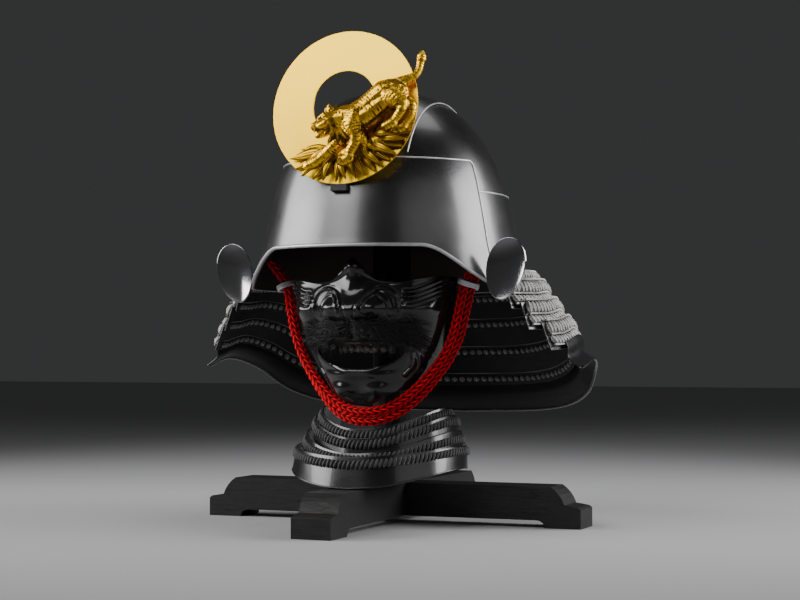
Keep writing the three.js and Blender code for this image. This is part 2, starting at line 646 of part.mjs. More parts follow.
// One of the two strands: way +1 lies in front and above, -1 behind and below,
// each a strand's half width away.
function strand(way) {
  const beside = new THREE.Vector3(-0.38, -0.92, 0);
  const above = new THREE.Vector3(0, -0.32, 0.95);
  const half = CORD_LINE.map(([x, y, z]) => {
    const toward = beside.clone().lerp(above, ease(-x, -90, -10)).setLength(CORD.radius + GAP);
    return new THREE.Vector3(x, y, z).addScaledVector(toward, way);
  });
  const mirrored = half.slice(0, -1).reverse().map((p) => new THREE.Vector3(-p.x, p.y, p.z));
  return new THREE.CatmullRomCurve3([...half, ...mirrored]);
}

function chinCord() {
  const section = new THREE.Shape();
  for (let i = 0; i < CORD.sides; i++) {
    const turn = (2 * Math.PI * i) / CORD.sides;
    const point = [CORD.radius * Math.cos(turn), CORD.radius * Math.sin(turn)];
    if (i) section.lineTo(...point);
    else section.moveTo(...point);
  }
  for (const [name, way] of [["chin_cord_front", 1], ["chin_cord_back", -1]]) {
    const settings = { steps: CORD.steps, extrudePath: strand(way), bevelEnabled: false };
    const tube = new THREE.ExtrudeGeometry(section, settings);
    place(name, tube, RED_CORD);
  }
  const band = (out) => (u, v) => {
    const turn = 2 * Math.PI * u;
    const across = (BINDING.halfWide + out) * Math.cos(turn);
    const deep = (BINDING.halfDeep + out) * Math.sin(turn);
    return new THREE.Vector3(across, deep, BINDING.high * (v - 0.5));
  };
  for (const side of [1, -1]) {
    const name = "cord_binding_" + (side > 0 ? "left" : "right");
    const mesh = place(name, wall(14, 1, band(BINDING.thick), band(0), true), WHITE_SILK);
    mesh.position.set(side * BINDING.x, BINDING.y, BINDING.z);
    mesh.rotation.y = side * rad(BINDING.lean);
  }
}

// ---- assembly -----------------------------------------------------------------------------------
stand();
post();
bowl();
turnBack(1);
turnBack(-1);
neckGuard();
crest();
mask();
teeth();
moustache();
throatGuard();
chinCord();

export default helmet;
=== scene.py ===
"""Dresses a kabuto, the samurai helmet, with its half mask, throat guard and crest, on its wooden stand."""

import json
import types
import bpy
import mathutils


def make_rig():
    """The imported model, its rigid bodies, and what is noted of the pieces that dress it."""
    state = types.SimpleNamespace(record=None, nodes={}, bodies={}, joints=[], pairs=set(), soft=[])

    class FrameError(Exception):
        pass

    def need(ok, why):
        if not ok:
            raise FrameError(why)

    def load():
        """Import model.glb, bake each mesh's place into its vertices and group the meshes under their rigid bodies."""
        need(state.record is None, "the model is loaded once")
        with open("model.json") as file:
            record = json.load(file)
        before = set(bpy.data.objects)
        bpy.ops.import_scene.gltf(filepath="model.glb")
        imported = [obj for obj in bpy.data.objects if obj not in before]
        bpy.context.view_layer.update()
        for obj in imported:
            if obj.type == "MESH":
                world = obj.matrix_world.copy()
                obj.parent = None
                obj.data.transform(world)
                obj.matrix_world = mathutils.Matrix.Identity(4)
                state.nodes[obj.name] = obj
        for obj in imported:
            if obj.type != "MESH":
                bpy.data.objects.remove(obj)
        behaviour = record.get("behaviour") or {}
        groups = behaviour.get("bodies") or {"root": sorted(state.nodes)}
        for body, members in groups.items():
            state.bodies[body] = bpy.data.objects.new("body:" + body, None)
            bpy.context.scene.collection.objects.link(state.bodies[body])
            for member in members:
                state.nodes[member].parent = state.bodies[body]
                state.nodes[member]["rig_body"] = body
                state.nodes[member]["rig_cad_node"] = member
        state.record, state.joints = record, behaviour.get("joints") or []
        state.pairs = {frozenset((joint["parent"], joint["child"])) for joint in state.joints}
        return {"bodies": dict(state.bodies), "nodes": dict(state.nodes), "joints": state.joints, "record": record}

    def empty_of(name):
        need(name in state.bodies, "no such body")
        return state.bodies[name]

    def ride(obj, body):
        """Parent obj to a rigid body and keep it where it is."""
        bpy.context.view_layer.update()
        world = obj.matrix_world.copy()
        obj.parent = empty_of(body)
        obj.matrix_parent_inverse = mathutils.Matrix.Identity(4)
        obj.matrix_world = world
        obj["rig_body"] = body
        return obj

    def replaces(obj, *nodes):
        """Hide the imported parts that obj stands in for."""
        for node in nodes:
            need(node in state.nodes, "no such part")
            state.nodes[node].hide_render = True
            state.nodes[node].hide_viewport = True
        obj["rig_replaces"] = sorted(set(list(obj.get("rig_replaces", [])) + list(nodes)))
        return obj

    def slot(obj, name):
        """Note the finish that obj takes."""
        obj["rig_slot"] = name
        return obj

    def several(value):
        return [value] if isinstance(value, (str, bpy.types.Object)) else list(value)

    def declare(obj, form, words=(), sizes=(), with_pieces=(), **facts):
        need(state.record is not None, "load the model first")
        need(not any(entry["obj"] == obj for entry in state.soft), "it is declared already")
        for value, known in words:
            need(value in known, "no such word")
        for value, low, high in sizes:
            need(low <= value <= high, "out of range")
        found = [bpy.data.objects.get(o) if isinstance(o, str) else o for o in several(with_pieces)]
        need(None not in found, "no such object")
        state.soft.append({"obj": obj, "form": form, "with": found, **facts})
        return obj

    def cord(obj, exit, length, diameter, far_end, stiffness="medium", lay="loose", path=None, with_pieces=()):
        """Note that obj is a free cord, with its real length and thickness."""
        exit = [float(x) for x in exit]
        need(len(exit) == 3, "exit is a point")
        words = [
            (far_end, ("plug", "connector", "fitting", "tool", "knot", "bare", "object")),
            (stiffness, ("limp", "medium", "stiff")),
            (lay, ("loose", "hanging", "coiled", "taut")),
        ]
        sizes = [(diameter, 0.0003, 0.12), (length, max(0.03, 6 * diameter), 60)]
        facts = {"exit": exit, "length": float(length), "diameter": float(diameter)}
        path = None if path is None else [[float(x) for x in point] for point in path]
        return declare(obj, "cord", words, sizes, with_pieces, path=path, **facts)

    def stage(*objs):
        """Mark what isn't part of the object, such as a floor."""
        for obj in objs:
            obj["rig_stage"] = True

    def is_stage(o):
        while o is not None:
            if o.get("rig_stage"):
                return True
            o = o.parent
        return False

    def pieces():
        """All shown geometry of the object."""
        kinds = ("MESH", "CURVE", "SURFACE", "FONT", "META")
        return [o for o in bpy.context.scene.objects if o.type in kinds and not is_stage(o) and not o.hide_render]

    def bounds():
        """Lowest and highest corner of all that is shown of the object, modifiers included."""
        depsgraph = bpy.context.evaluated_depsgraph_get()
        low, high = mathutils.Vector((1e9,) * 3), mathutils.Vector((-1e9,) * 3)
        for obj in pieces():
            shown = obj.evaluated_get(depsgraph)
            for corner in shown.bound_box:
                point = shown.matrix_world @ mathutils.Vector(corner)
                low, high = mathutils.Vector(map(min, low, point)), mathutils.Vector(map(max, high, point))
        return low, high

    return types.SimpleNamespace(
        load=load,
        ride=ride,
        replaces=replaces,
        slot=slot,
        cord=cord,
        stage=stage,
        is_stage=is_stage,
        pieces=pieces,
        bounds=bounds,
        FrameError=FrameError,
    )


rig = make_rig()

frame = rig.load()

import json
import random
from collections import namedtuple
from math import atan2, cos, degrees, exp, pi, radians, sin, sqrt
from types import SimpleNamespace as Sizes

import bmesh
import bpy
from mathutils import Matrix, Vector, kdtree, noise

CAD_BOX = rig.bounds()
MM = 0.001
GAP = 0.3 * MM

# ---- driving dimensions, in metres, as the solids have them ---------------------------------------
BOWL = Sizes(rim=0.258, apex=0.426, half_width=0.128, half_length=0.138, taper=0.2135, centre_y=-0.007,
             wall=0.003, crown=4.6, round=1.9, shoulder=0.74)
BRIM = Sizes(front=0.267, side=0.231, start=36, stop=70)
PLATES = Sizes(strip_half=0.055, strip_rise=1.6 * MM, brow_top=0.3505, brow_end=67.5, brow_rise=1.1 * MM,
               rear_rise=0.5 * MM, rear_top=0.321, under=0.004)
SEAM = Sizes(radius=0.95 * MM, sunk=0.3 * MM, rim_radius=1.7 * MM, rim_up=0.4 * MM)
LINING = Sizes(gap=0.003, wall=0.002, low=0.285)
FLAP = Sizes(x=0.1415, y=-0.0745, z=0.246, half_wide=0.0186, half_high=0.0295, thick=0.0022, lean=13,
             dish=0.003)
NECK = Sizes(top=0.249, half_width=0.1995, half_length=0.2005, bulge=-0.002, wall=1.4 * MM)
LAP = Sizes(over=0.045, shift=3.5 * MM, flange=5 * MM)
CREST = Sizes(radius=0.074, hole=0.032, hole_up=0.003, thick=1.6 * MM, lean=8, y=-0.123, z=0.3975)
MASK = Sizes(wall=2.4 * MM, power=0.72)
MOUTH = Sizes(z=0.165, half_wide=0.045, half_high=0.0135, smile=0.004)
CORD = Sizes(radius=4.6 * MM, length=0.410)
BINDING = Sizes(x=0.096, y=-0.048, z=0.233, half_wide=9.4 * MM, half_deep=11.7 * MM, high=6.6 * MM, lean=20)
CAMERA = Sizes(azimuth=22.29, elevation=-1.5, distance=1.8, aside=0.005, height=0.2197, lens=81)


# ---- small tools ----------------------------------------------------------------------------------
def mix(a, b, t):
    return a + (b - a) * t


def ease(x, start, stop):
    t = min(max((x - start) / (stop - start), 0), 1)
    return t * t * (3 - 2 * t)


def bell(distance, width):
    return exp(-(distance / width) ** 2)


def smooth_path(points, per_span=12):
    """A smooth line through the points, as a list of closely spaced places."""
    ends = [points[0] * 2 - points[1], *points, points[-1] * 2 - points[-2]]
    line = []
    for a, b, c, d in zip(ends, ends[1:], ends[2:], ends[3:]):
        for i in range(per_span):
            t = i / per_span
            line.append((b * 2 + (c - a) * t + (a * 2 - b * 5 + c * 4 - d) * t ** 2
                         + (b * 3 - a - c * 3 + d) * t ** 3) / 2)
    return [*line, points[-1]]


def mirrored(line):
    return [Vector((-p.x, p.y, p.z)) for p in line]


def path_length(line):
    return sum((b - a).length for a, b in zip(line, line[1:]))


def even_path(line, step):
    """The line again, with its places a constant `step` apart."""
    count = max(2, round(path_length(line) / step))
    wanted = path_length(line) / count
    places, run = [line[0]], 0
    for a, b in zip(line, line[1:]):
        span = (b - a).length
        while run + span >= wanted * len(places) and len(places) < count:
            places.append(a.lerp(b, (wanted * len(places) - run) / span))
        run += span
    return [*places, line[-1]]


def frames_along(line, up=Vector((0, 0, 1))):
    """A pair of crossways directions at each place of a line, carried along it without a twist."""
    frames = []
    side = None
    for i, place in enumerate(line):
        ahead = (line[min(i + 1, len(line) - 1)] - line[max(i - 1, 0)]).normalized()
        side = ahead.cross(up) if side is None else side - ahead * side.dot(ahead)
        side.normalize()
        frames.append((side.copy(), side.cross(ahead).normalized()))
    return frames


def fine_grid(across, along, place, spans=(1, 1), ring=False):
    """A grid laid on place(u, v), u and v from 0 to 1, its UVs `spans` metres; a ring joins its sides."""
    bm = bmesh.new()
    uv = bm.loops.layers.uv.new("UVMap")
    bmesh.ops.create_grid(bm, x_segments=across, y_segments=along, size=0.5)
    for face in bm.faces:
        for loop in face.loops:
            loop[uv].uv = ((loop.vert.co.x + 0.5) * spans[0], (loop.vert.co.y + 0.5) * spans[1])
    for vert in bm.verts:
        vert.co = place(vert.co.x + 0.5, vert.co.y + 0.5)
    if ring:
        bmesh.ops.remove_doubles(bm, verts=bm.verts, dist=1e-6)
    return bm


def lump(bm, centre, across, along, out, sides=8, rings=5):
    """Adds one rounded lump whose half sizes are the lengths of three directions; its UV runs along it."""
    turn = Matrix((across, out, along)).transposed().to_4x4()
    if turn.determinant() < 0:
        turn = Matrix((-across, out, along)).transposed().to_4x4()
    turn.translation = centre
    bmesh.ops.create_uvsphere(bm, u_segments=sides, v_segments=rings, radius=1, matrix=turn, calc_uvs=True)


def lump_mesh():
    """An empty mesh for lumps, with the UV map that they write to."""
    bm = bmesh.new()
    bm.loops.layers.uv.new("UVMap")
    return bm


def close_holes(bm):
    bmesh.ops.holes_fill(bm, edges=[edge for edge in bm.edges if edge.is_boundary], sides=0)


def face_front(bm):
    """Turns a sheet's faces to the front."""
    bmesh.ops.recalc_face_normals(bm, faces=bm.faces)
    if bm.faces[0].normal.y > 0:
        bmesh.ops.reverse_faces(bm, faces=bm.faces)


def in_scene(name, data):
    made = bpy.data.objects.new(name, data)
    bpy.context.scene.collection.objects.link(made)
    return made


def finished(data, name, settle=None):
    """The mesh that a curve, or a mesh with the modifiers that `settle` adds, comes to."""
    holder = in_scene(name + ".rough", data)
    if settle:
        settle(holder.modifiers)
    mesh = bpy.data.meshes.new_from_object(holder.evaluated_get(bpy.context.evaluated_depsgraph_get()))
    bpy.data.objects.remove(holder)
    return mesh


def piece(bm, name, finish, slot, replaces=()):
    """Makes a mesh a piece of the object, with its finish, slot and the solids that it stands for."""
    mesh = bpy.data.meshes.new(name)
    bm.to_mesh(mesh)
    bm.free()
    return dressed(mesh, name, finish, slot, replaces)


def dressed(mesh, name, finish, slot, replaces=()):
    """A mesh as a piece; one that stands for solids is named after them, with _fine added."""
    made = in_scene(name + "_fine" if replaces else name, mesh)
    mesh.polygons.foreach_set("use_smooth", [True] * len(mesh.polygons))
    mesh.materials.clear()
    mesh.materials.append(finish)
    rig.ride(made, "root")
    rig.slot(made, slot)
    if replaces:
        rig.replaces(made, *replaces)
    return made


def walled(bm, name, finish, slot, thickness, soft, segments=2, inner=None):
    """A sheet that stands for its solid, with its wall and softened edges."""
    made = piece(bm, name, finish, slot, [name])
    thicken(made, thickness, inner=inner)
    soften(made, soft, segments)


def thicken(made, thickness, offset=-1, inner=None):
    """Gives a sheet its wall; `inner` is a second finish for the inner face."""
    wall = made.modifiers.new("wall", "SOLIDIFY")
    wall.thickness = thickness
    wall.offset = offset
    wall.use_even_offset = True
    if inner:
        made.data.materials.append(inner)
        wall.material_offset = 1


def soften(made, width, segments=2):
    """Rounds a piece's sharp edges."""
    edge = made.modifiers.new("soft edge", "BEVEL")
    edge.width = width
    edge.segments = segments
    edge.limit_method = "ANGLE"
    edge.angle_limit = radians(50)
    edge.harden_normals = True


def rods(lines, name, finish, slot, radius, sides=6, closed=False, replaces=(), tapers=None):
    """Round rods of one thickness along lines, as one mesh; `tapers` gives radius factors along a rod."""
    curve = bpy.data.curves.new(name, "CURVE")
    curve.dimensions = "3D"
    curve.bevel_depth = radius
    curve.bevel_resolution = max(0, sides // 2 - 2)
    curve.use_fill_caps = True
    for line in lines:
        spline = curve.splines.new("POLY")
        spline.points.add(len(line) - 1)
        spline.use_cyclic_u = closed
        for i, (point, place) in enumerate(zip(spline.points, line)):
            point.co = (*place, 1)
            if tapers:
                point.radius = tapers[min(i, len(tapers) - 1)]
    mesh = finished(curve, name)
    mesh.name = name
    bpy.data.curves.remove(curve)
    return dressed(mesh, name, finish, slot, replaces)


def between(rows, key):
    """The other columns of a table at a key, by a smooth curve through its rows; keys rise."""
    key = min(max(key, rows[0][0]), rows[-1][0])
    i = next(k for k in range(len(rows) - 1) if key <= rows[k + 1][0])
    a, b = rows[i], rows[i + 1]
    before, after = rows[max(i - 1, 0)], rows[min(i + 2, len(rows) - 1)]
    span = b[0] - a[0]
    t = (key - a[0]) / span
    found = []
    for p, q, r, s in zip(before[1:], a[1:], b[1:], after[1:]):
        rise_a = (r - p) / (b[0] - before[0]) * span
        rise_b = (s - q) / (after[0] - a[0]) * span
        found.append((2 * t ** 3 - 3 * t ** 2 + 1) * q + (t ** 3 - 2 * t ** 2 + t) * rise_a
                     + (3 * t ** 2 - 2 * t ** 3) * r + (t ** 3 - t ** 2) * rise_b)
    return found


# ---- camera ---------------------------------------------------------------------------------------
def aim_camera():
    turn, tilt = radians(CAMERA.azimuth), radians(CAMERA.elevation)
    right = Vector((cos(turn), sin(turn), 0))
    back = Vector((sin(turn) * cos(tilt), -cos(turn) * cos(tilt), sin(tilt)))
    lens = bpy.data.cameras.new("camera")
    lens.lens = CAMERA.lens
    lens.sensor_width = 36
    camera = in_scene("camera", lens)
    camera.location = right * CAMERA.aside + Vector((0, 0, CAMERA.height)) + back * CAMERA.distance
    camera.rotation_euler = (-back).to_track_quat("-Z", "Y").to_euler()
    bpy.context.scene.camera = camera


# ---- shader tools ---------------------------------------------------------------------------------
class Signal:
    """An output of a shader node; arithmetic on it adds Math nodes."""

    def __init__(self, paint, socket):
        self.paint = paint
        self.socket = socket

    def _with(self, operation, *others):
        return self.paint.node("ShaderNodeMath", {"operation": operation}, *others)

    def __add__(self, other):
        return self._with("ADD", self, other)

    def __sub__(self, other):
        return self._with("SUBTRACT", self, other)

    def __mul__(self, other):
        return self._with("MULTIPLY", self, other)

    def __abs__(self):
        return self._with("ABSOLUTE", self)

    __radd__ = __add__
    __rmul__ = __mul__

    def sine(self):
        return self._with("SINE", self)

    def spread(self, low, high, to_low=0.0, to_high=1.0):
        """The signal stretched from low..high to to_low..to_high, and held there."""
        return self.paint.node("ShaderNodeMapRange", {}, self, low, high, to_low, to_high)

    def axis(self, letter):
        split = self.paint.node("ShaderNodeSeparateXYZ", {}, self)
        return Signal(self.paint, split.socket.node.outputs[letter])


class Paint:
    """One finish: a Principled material, the nodes that vary it, and its bump."""

    def __init__(self, name, **constants):
        self.material = bpy.data.materials.new(name)
        self.material.use_nodes = True
        self.tree = self.material.node_tree
        self.shader = self.tree.nodes["Principled BSDF"]
        for socket, value in constants.items():
            self.shader.inputs[socket.replace("_", " ").title().replace("Ior", "IOR")].default_value = value

    def node(self, kind, settings, *values, **named):
        """Adds a node: its settings, then its sockets' values or links, in order or by name."""
        made = self.tree.nodes.new(kind)
        for key, value in settings.items():
            setattr(made, key, value)
        sockets = dict(enumerate(values)) | {key.replace("_", " "): value for key, value in named.items()}
        for key, value in sockets.items():
            self.feed(made.inputs[key], value)
        return Signal(self, next(out for out in made.outputs if out.enabled))

    def feed(self, socket, value):
        if isinstance(value, Signal):
            self.tree.links.new(value.socket, socket)
        else:
            socket.default_value = value

    def place(self, scale=(1, 1, 1), turn=(0, 0, 0)):
        """The object's own coordinates, scaled and turned."""
        where = self.node("ShaderNodeTexCoord", {})
        where = Signal(self, where.socket.node.outputs["Object"])
        return self.node("ShaderNodeMapping", {}, Vector=where, Scale=scale, Rotation=turn)

    def surface(self):
        """The piece's UV map: metres across and along it."""
        where = self.node("ShaderNodeTexCoord", {})
        return Signal(self, where.socket.node.outputs["UV"])

    def kept(self, name):
        """A number kept on the mesh's points."""
        made = self.node("ShaderNodeAttribute", {"attribute_name": name})
        return Signal(self, made.socket.node.outputs["Fac"])

    def noise(self, where, scale, detail=3.0, roughness=0.5, distortion=0.0):
        return self.node("ShaderNodeTexNoise", {}, Vector=where, Scale=scale, Detail=detail,
                         Roughness=roughness, Distortion=distortion)

    def cells(self, where, scale):
        return self.node("ShaderNodeTexVoronoi", {}, Vector=where, Scale=scale)

    def colours(self, factor, low, high):
        """A colour between low and high."""
        made = self.node("ShaderNodeMix", {"data_type": "RGBA"}, factor)
        inputs = made.socket.node.inputs
        for index, colour in ((6, low), (7, high)):
            self.feed(inputs[index], colour if isinstance(colour, Signal) else (*colour, 1))
        return made

    def vary(self, **signals):
        for socket, signal in signals.items():
            self.feed(self.shader.inputs[socket.replace("_", " ").title()], signal)
        return self

    def bump(self, height, distance, strength=1.0):
        normal = self.node("ShaderNodeBump", {}, Strength=strength, Distance=distance, Height=height)
        self.feed(self.shader.inputs["Normal"], normal)
        return self


# ---- finishes -------------------------------------------------------------------------------------
def clouded(name, dark, light, tone, rough=None, bump=None, metallic=None, stretch=(1, 1, 1), **constants):
    """A finish of noise alone: each pattern starts with its noise's scale, detail, low and high end.

    Then come the values that the ends stand for, or the bump's depth and strength. The roughness and
    the bump are stretched."""
    paint = Paint(name, **constants)

    def pattern(where, scale, detail, low, high, *ends):
        return paint.noise(where, scale, detail).spread(low, high, *ends)

    where, drawn = paint.place(), paint.place(stretch)
    paint.vary(base_color=paint.colours(pattern(where, *tone), dark, light))
    if rough:
        paint.vary(roughness=pattern(drawn, *rough))
    if metallic:
        paint.vary(metallic=pattern(where, *metallic))
    if bump:
        paint.bump(pattern(drawn, *bump[:4]), *bump[4:])
    return paint.material


def inside_lacquer(name, dark, light):
    """Dull lacquer brushed on an inner face."""
    return clouded(name, dark, light, (60, 4, 0, 1), rough=(90, 4, 0.3, 0.7, 0.5, 0.68),
                   bump=(90, 4, 0, 1, 0.00015, 0.5), stretch=(1, 1, 12), specular_ior_level=0.25)


def bowl_lacquer():
    """Black lacquer on hammered iron: a satin skin, faintly uneven, with hairline polishing marks."""
    paint = Paint("bowl_lacquer", ior=1.5, coat_weight=0.3, coat_roughness=0.14)
    where = paint.place()
    cloud = paint.noise(where, 22, 4)
    marks = paint.noise(paint.place((1, 1, 14)), 420, 2)
    dark, light = (0.060, 0.060, 0.062), (0.088, 0.088, 0.090)
    paint.vary(base_color=paint.colours(cloud.spread(0.35, 0.7), dark, light),
               roughness=cloud.spread(0.3, 0.75, 0.24, 0.31) + marks * 0.05,
               metallic=cloud.spread(0.2, 0.8, 0.88, 0.95))
    paint.bump(paint.noise(where, 60, 2) + marks * 0.05, 0.00018, 0.5)
    return paint.material


def lame_lacquer():
    """Thick black lacquer on the lames: glossier, with a slow ripple and a few dust specks."""
    paint = Paint("lame_lacquer", ior=1.45, coat_weight=0.3, coat_roughness=0.06)
    where = paint.place()
    specks = paint.cells(where, 520).spread(0.02, 0.1, 1, 0)
    paint.vary(base_color=paint.colours(specks * 0.25, (0.009, 0.009, 0.010), (0.05, 0.05, 0.05)),
               roughness=paint.noise(where, 30, 3).spread(0.3, 0.7, 0.2, 0.32))
    paint.bump(paint.noise(where, 34, 2), 0.00025, 0.45)
    return paint.material


def crest_gold():
    """Pale gold leaf over a rubbed disc: satin, with cloudy wear and the leaves' faint overlaps."""
    paint = Paint("crest_gold", metallic=1.0)
    where = paint.place()
    cloud = paint.noise(where, 30, 5)
    rubbed = paint.noise(paint.place((1, 1, 9)), 300, 3)
    paint.vary(base_color=paint.colours(cloud.spread(0.35, 0.7), (0.74, 0.45, 0.012), (0.87, 0.56, 0.024)),
               roughness=cloud.spread(0.3, 0.75, 0.27, 0.38) + rubbed * 0.06)
    paint.bump(rubbed, 0.00002, 0.5)
    return paint.material


def cast_gold():
    """Old cast gold: bright on what is raised and dark brown with painted shade in the grooves, creases and hollows,
    with small pits.
    """
    paint = Paint("cast_gold", metallic=1.0)
    where = paint.place()
    worn = paint.noise(where, 160, 4).spread(0.35, 0.7)
    # The kept painted shade turns the gold dark brown where shade falls: grooves, creases, hollows and the side
    # against the disc.
    painted_shade_level = paint.kept("groove").spread(0.15, 0.75) * (0.75 + worn * 0.25)
    gold = paint.colours(worn, (0.70, 0.38, 0.014), (0.95, 0.57, 0.030))
    paint.vary(base_color=paint.colours(painted_shade_level, gold, (0.035, 0.015, 0.002)),
               roughness=painted_shade_level.spread(0, 1, 0.32, 0.65) + worn * 0.06)
    paint.bump(paint.noise(where, 900, 3), 0.00012, 0.5)
    return paint.material


def braid(name, dark, light, thread=2600, sheen=0.4, rough=(0.62, 0.85)):
    """Silk braid: strands along each loop, fine threads that cross on them, and shade variation; where strands and
    threads dip, the colour is darkened as painted shade.
    """
    paint = Paint(name, sheen_weight=sheen, sheen_roughness=0.4)
    threads = paint.place()
    one = (paint.place(turn=(0.5, 0.6, 0.3)).axis("X") * thread).sine()
    other = (paint.place(turn=(-0.5, 0.6, -0.5)).axis("Z") * thread).sine()
    weave = (one + other) * 0.25 + 0.5
    strand = (paint.surface().axis("X") * 38).sine() * 0.5 + 0.5
    shade = paint.noise(threads, 70, 4).spread(0.3, 0.7)
    # Strand and weave darken the colour where their bump dips: painted shade between strands and threads.
    paint.vary(base_color=paint.colours(shade * 0.3 + weave * 0.15 + strand * 0.55, dark, light),
               roughness=shade.spread(0, 1, *rough))
    paint.bump(weave * 0.4 + strand * 1.2 + paint.noise(threads, 2500, 2) * 0.5, 0.00035, 0.8)
    return paint.material


def plaited(name, dark, light, deep):
    """A plaited silk cord: painted shade, nearly black, in the plait's grooves, with fine threads on each strand that
    are painted darker where they dip.
    """
    paint = Paint(name, sheen_weight=0.0, specular_ior_level=0.12)
    where = paint.place()
    crown = paint.kept("crown")
    thread = ((paint.surface().axis("X") * 900 + paint.surface().axis("Y") * 3200)).sine() * 0.5 + 0.5
    shade = paint.noise(where, 260, 3).spread(0.3, 0.7)
    silk = paint.colours(shade * 0.7 + thread * 0.3, dark, light)
    # Where the plait's crown is low the colour goes to the deep one: painted shade in the grooves.
    paint.vary(base_color=paint.colours(crown.spread(0.3, 0.8), deep, silk),
               roughness=shade.spread(0, 1, 0.55, 0.8))
    paint.bump(thread + paint.noise(where, 3000, 2) * 0.8, 0.00018, 0.7)
    return paint.material


def lining_cloth():
    """Dark red-brown hemp lining with crossing threads and rows of quilting."""
    paint = Paint("lining_cloth", specular_ior_level=0.2)
    where = paint.place()
    warp = (where.axis("X") * 3400).sine() * (where.axis("Z") * 3400).sine()
    rows = abs((where.axis("Z") * 420).sine()).spread(0.0, 0.25)
    shade = paint.noise(where, 60, 4).spread(0.3, 0.7)
    cloth = paint.colours(shade, (0.012, 0.004, 0.004), (0.026, 0.008, 0.007))
    paint.vary(base_color=paint.colours(rows, (0.045, 0.009, 0.008), cloth),
               roughness=shade.spread(0, 1, 0.8, 0.95))
    paint.bump(warp * 0.3 + rows, 0.0006, 0.7)
    return paint.material


def stand_wood(name, turn):
    """Black-stained open-grained wood; `turn` lays the grain along the board."""
    paint = Paint(name, specular_ior_level=0.3)
    along = paint.place((1.2, 22, 22), turn)
    grain = paint.noise(along, 30, 5, 0.6, 0.4)
    pores = paint.noise(paint.place((3, 60, 60), turn), 55, 3)
    pits = pores.spread(0.56, 0.66)
    dark, light = (0.0045, 0.0042, 0.004), (0.020, 0.0185, 0.0175)
    paint.vary(base_color=paint.colours(grain.spread(0.35, 0.7), dark, light),
               roughness=grain.spread(0.3, 0.7, 0.42, 0.6) + pits * 0.2)
    paint.bump(grain * 0.5 - pits, 0.0004, 0.6)
    return paint.material


FINISH = Sizes(
    bowl=bowl_lacquer(),
    bowl_inside=inside_lacquer("bowl_inside", (0.010, 0.003, 0.003), (0.022, 0.006, 0.005)),
    # The plates' edges and rolled rim: light, rough metal whose colour is a painted highlight, drawing thin light
    # lines along the seams.
    edge=clouded("worn_edge", (0.36, 0.36, 0.365), (0.52, 0.52, 0.525), (90, 4, 0.3, 0.7),
                 rough=(90, 4, 0.3, 0.7, 0.38, 0.5), metallic=(90, 4, 0.3, 0.7, 0.85, 0.98),
                 bump=(400, 3, 0, 1, 0.00008, 0.5)),
    lame=lame_lacquer(),
    lame_inside=inside_lacquer("lame_inside", (0.004, 0.004, 0.004), (0.010, 0.010, 0.010)),
    # Mirror-black lacquer over carved leather: slow ripples and a little haze.
    mask=clouded("mask_lacquer", (0.005, 0.005, 0.006), (0.013, 0.012, 0.012), (40, 3, 0, 1),
                 rough=(90, 4, 0.35, 0.7, 0.1, 0.22), bump=(55, 2, 0, 1, 0.00015, 0.4),
                 ior=1.36, coat_weight=0.2, coat_roughness=0.04),
    mask_red=clouded("mask_red", (0.035, 0.003, 0.003), (0.07, 0.006, 0.005), (70, 4, 0, 1),
                     rough=(120, 3, 0.3, 0.7, 0.25, 0.4), bump=(160, 3, 0, 1, 0.0002, 0.4),
                     coat_weight=0.6, coat_roughness=0.15),
    # Burnished steel, brushed across.
    turn_back=clouded("turn_back_metal", (0.33, 0.33, 0.34), (0.40, 0.40, 0.41), (40, 3, 0.3, 0.7),
                      rough=(160, 4, 0.2, 0.8, 0.08, 0.13), metallic=(40, 3, 0.2, 0.8, 0.93, 0.98),
                      bump=(160, 4, 0, 1, 0.00003, 0.5), stretch=(1, 1, 26),
                      coat_weight=0.3, coat_roughness=0.12),
    disc=crest_gold(),
    cast=cast_gold(),
    iron=clouded("black_iron", (0.008, 0.008, 0.008), (0.03, 0.028, 0.026), (260, 4, 0, 1),
                 rough=(260, 4, 0.3, 0.7, 0.4, 0.6), metallic=(260, 4, 0.3, 0.7, 0.5, 0.7),
                 bump=(260, 4, 0, 1, 0.0002, 0.6)),
    grey_lace=braid("grey_lacing", (0.030, 0.029, 0.028), (0.74, 0.72, 0.70)),
    # A darker copy of the grey lacing: painted shade for the stitches on the lames' inner face.
    inner_lace=braid("inner_lacing", (0.03, 0.03, 0.03), (0.24, 0.24, 0.24)),
    black_lace=braid("black_lacing", (0.006, 0.006, 0.007), (0.035, 0.035, 0.038)),
    white_silk=braid("white_silk", (0.50, 0.50, 0.54), (0.86, 0.86, 0.90), rough=(0.35, 0.55)),
    # The cord's last colour is the painted shade in the plait's grooves.
    red_cord=plaited("red_cord", (0.46, 0.0, 0.003), (0.80, 0.0, 0.011), (0.010, 0.0, 0.0)),
    hair=clouded("hair", (0.0015, 0.0015, 0.0015), (0.016, 0.0157, 0.0153), (420, 3, 0.35, 0.75),
                 rough=(420, 3, 0.3, 0.7, 0.45, 0.65), bump=(3000, 2, 0, 1, 0.0001, 0.4),
                 specular_ior_level=0.35),
    # Teeth of dark gilt, mottled at random, glossier where lighter.
    teeth=clouded("teeth", (0.03, 0.022, 0.015), (0.13, 0.11, 0.085), (260, 4, 0.3, 0.7),
                  rough=(260, 4, 0.3, 0.7, 0.45, 0.25), bump=(260, 4, 0.3, 0.7, 0.0001, 0.5),
                  coat_weight=0.4, coat_roughness=0.2),
    lining=lining_cloth(),
    wood_wide=stand_wood("stand_wood_wide", (0, 0, 0)),
    wood_deep=stand_wood("stand_wood_deep", (0, 0, radians(90))),
    wood_post=stand_wood("post_wood", (0, radians(90), 0)),
)


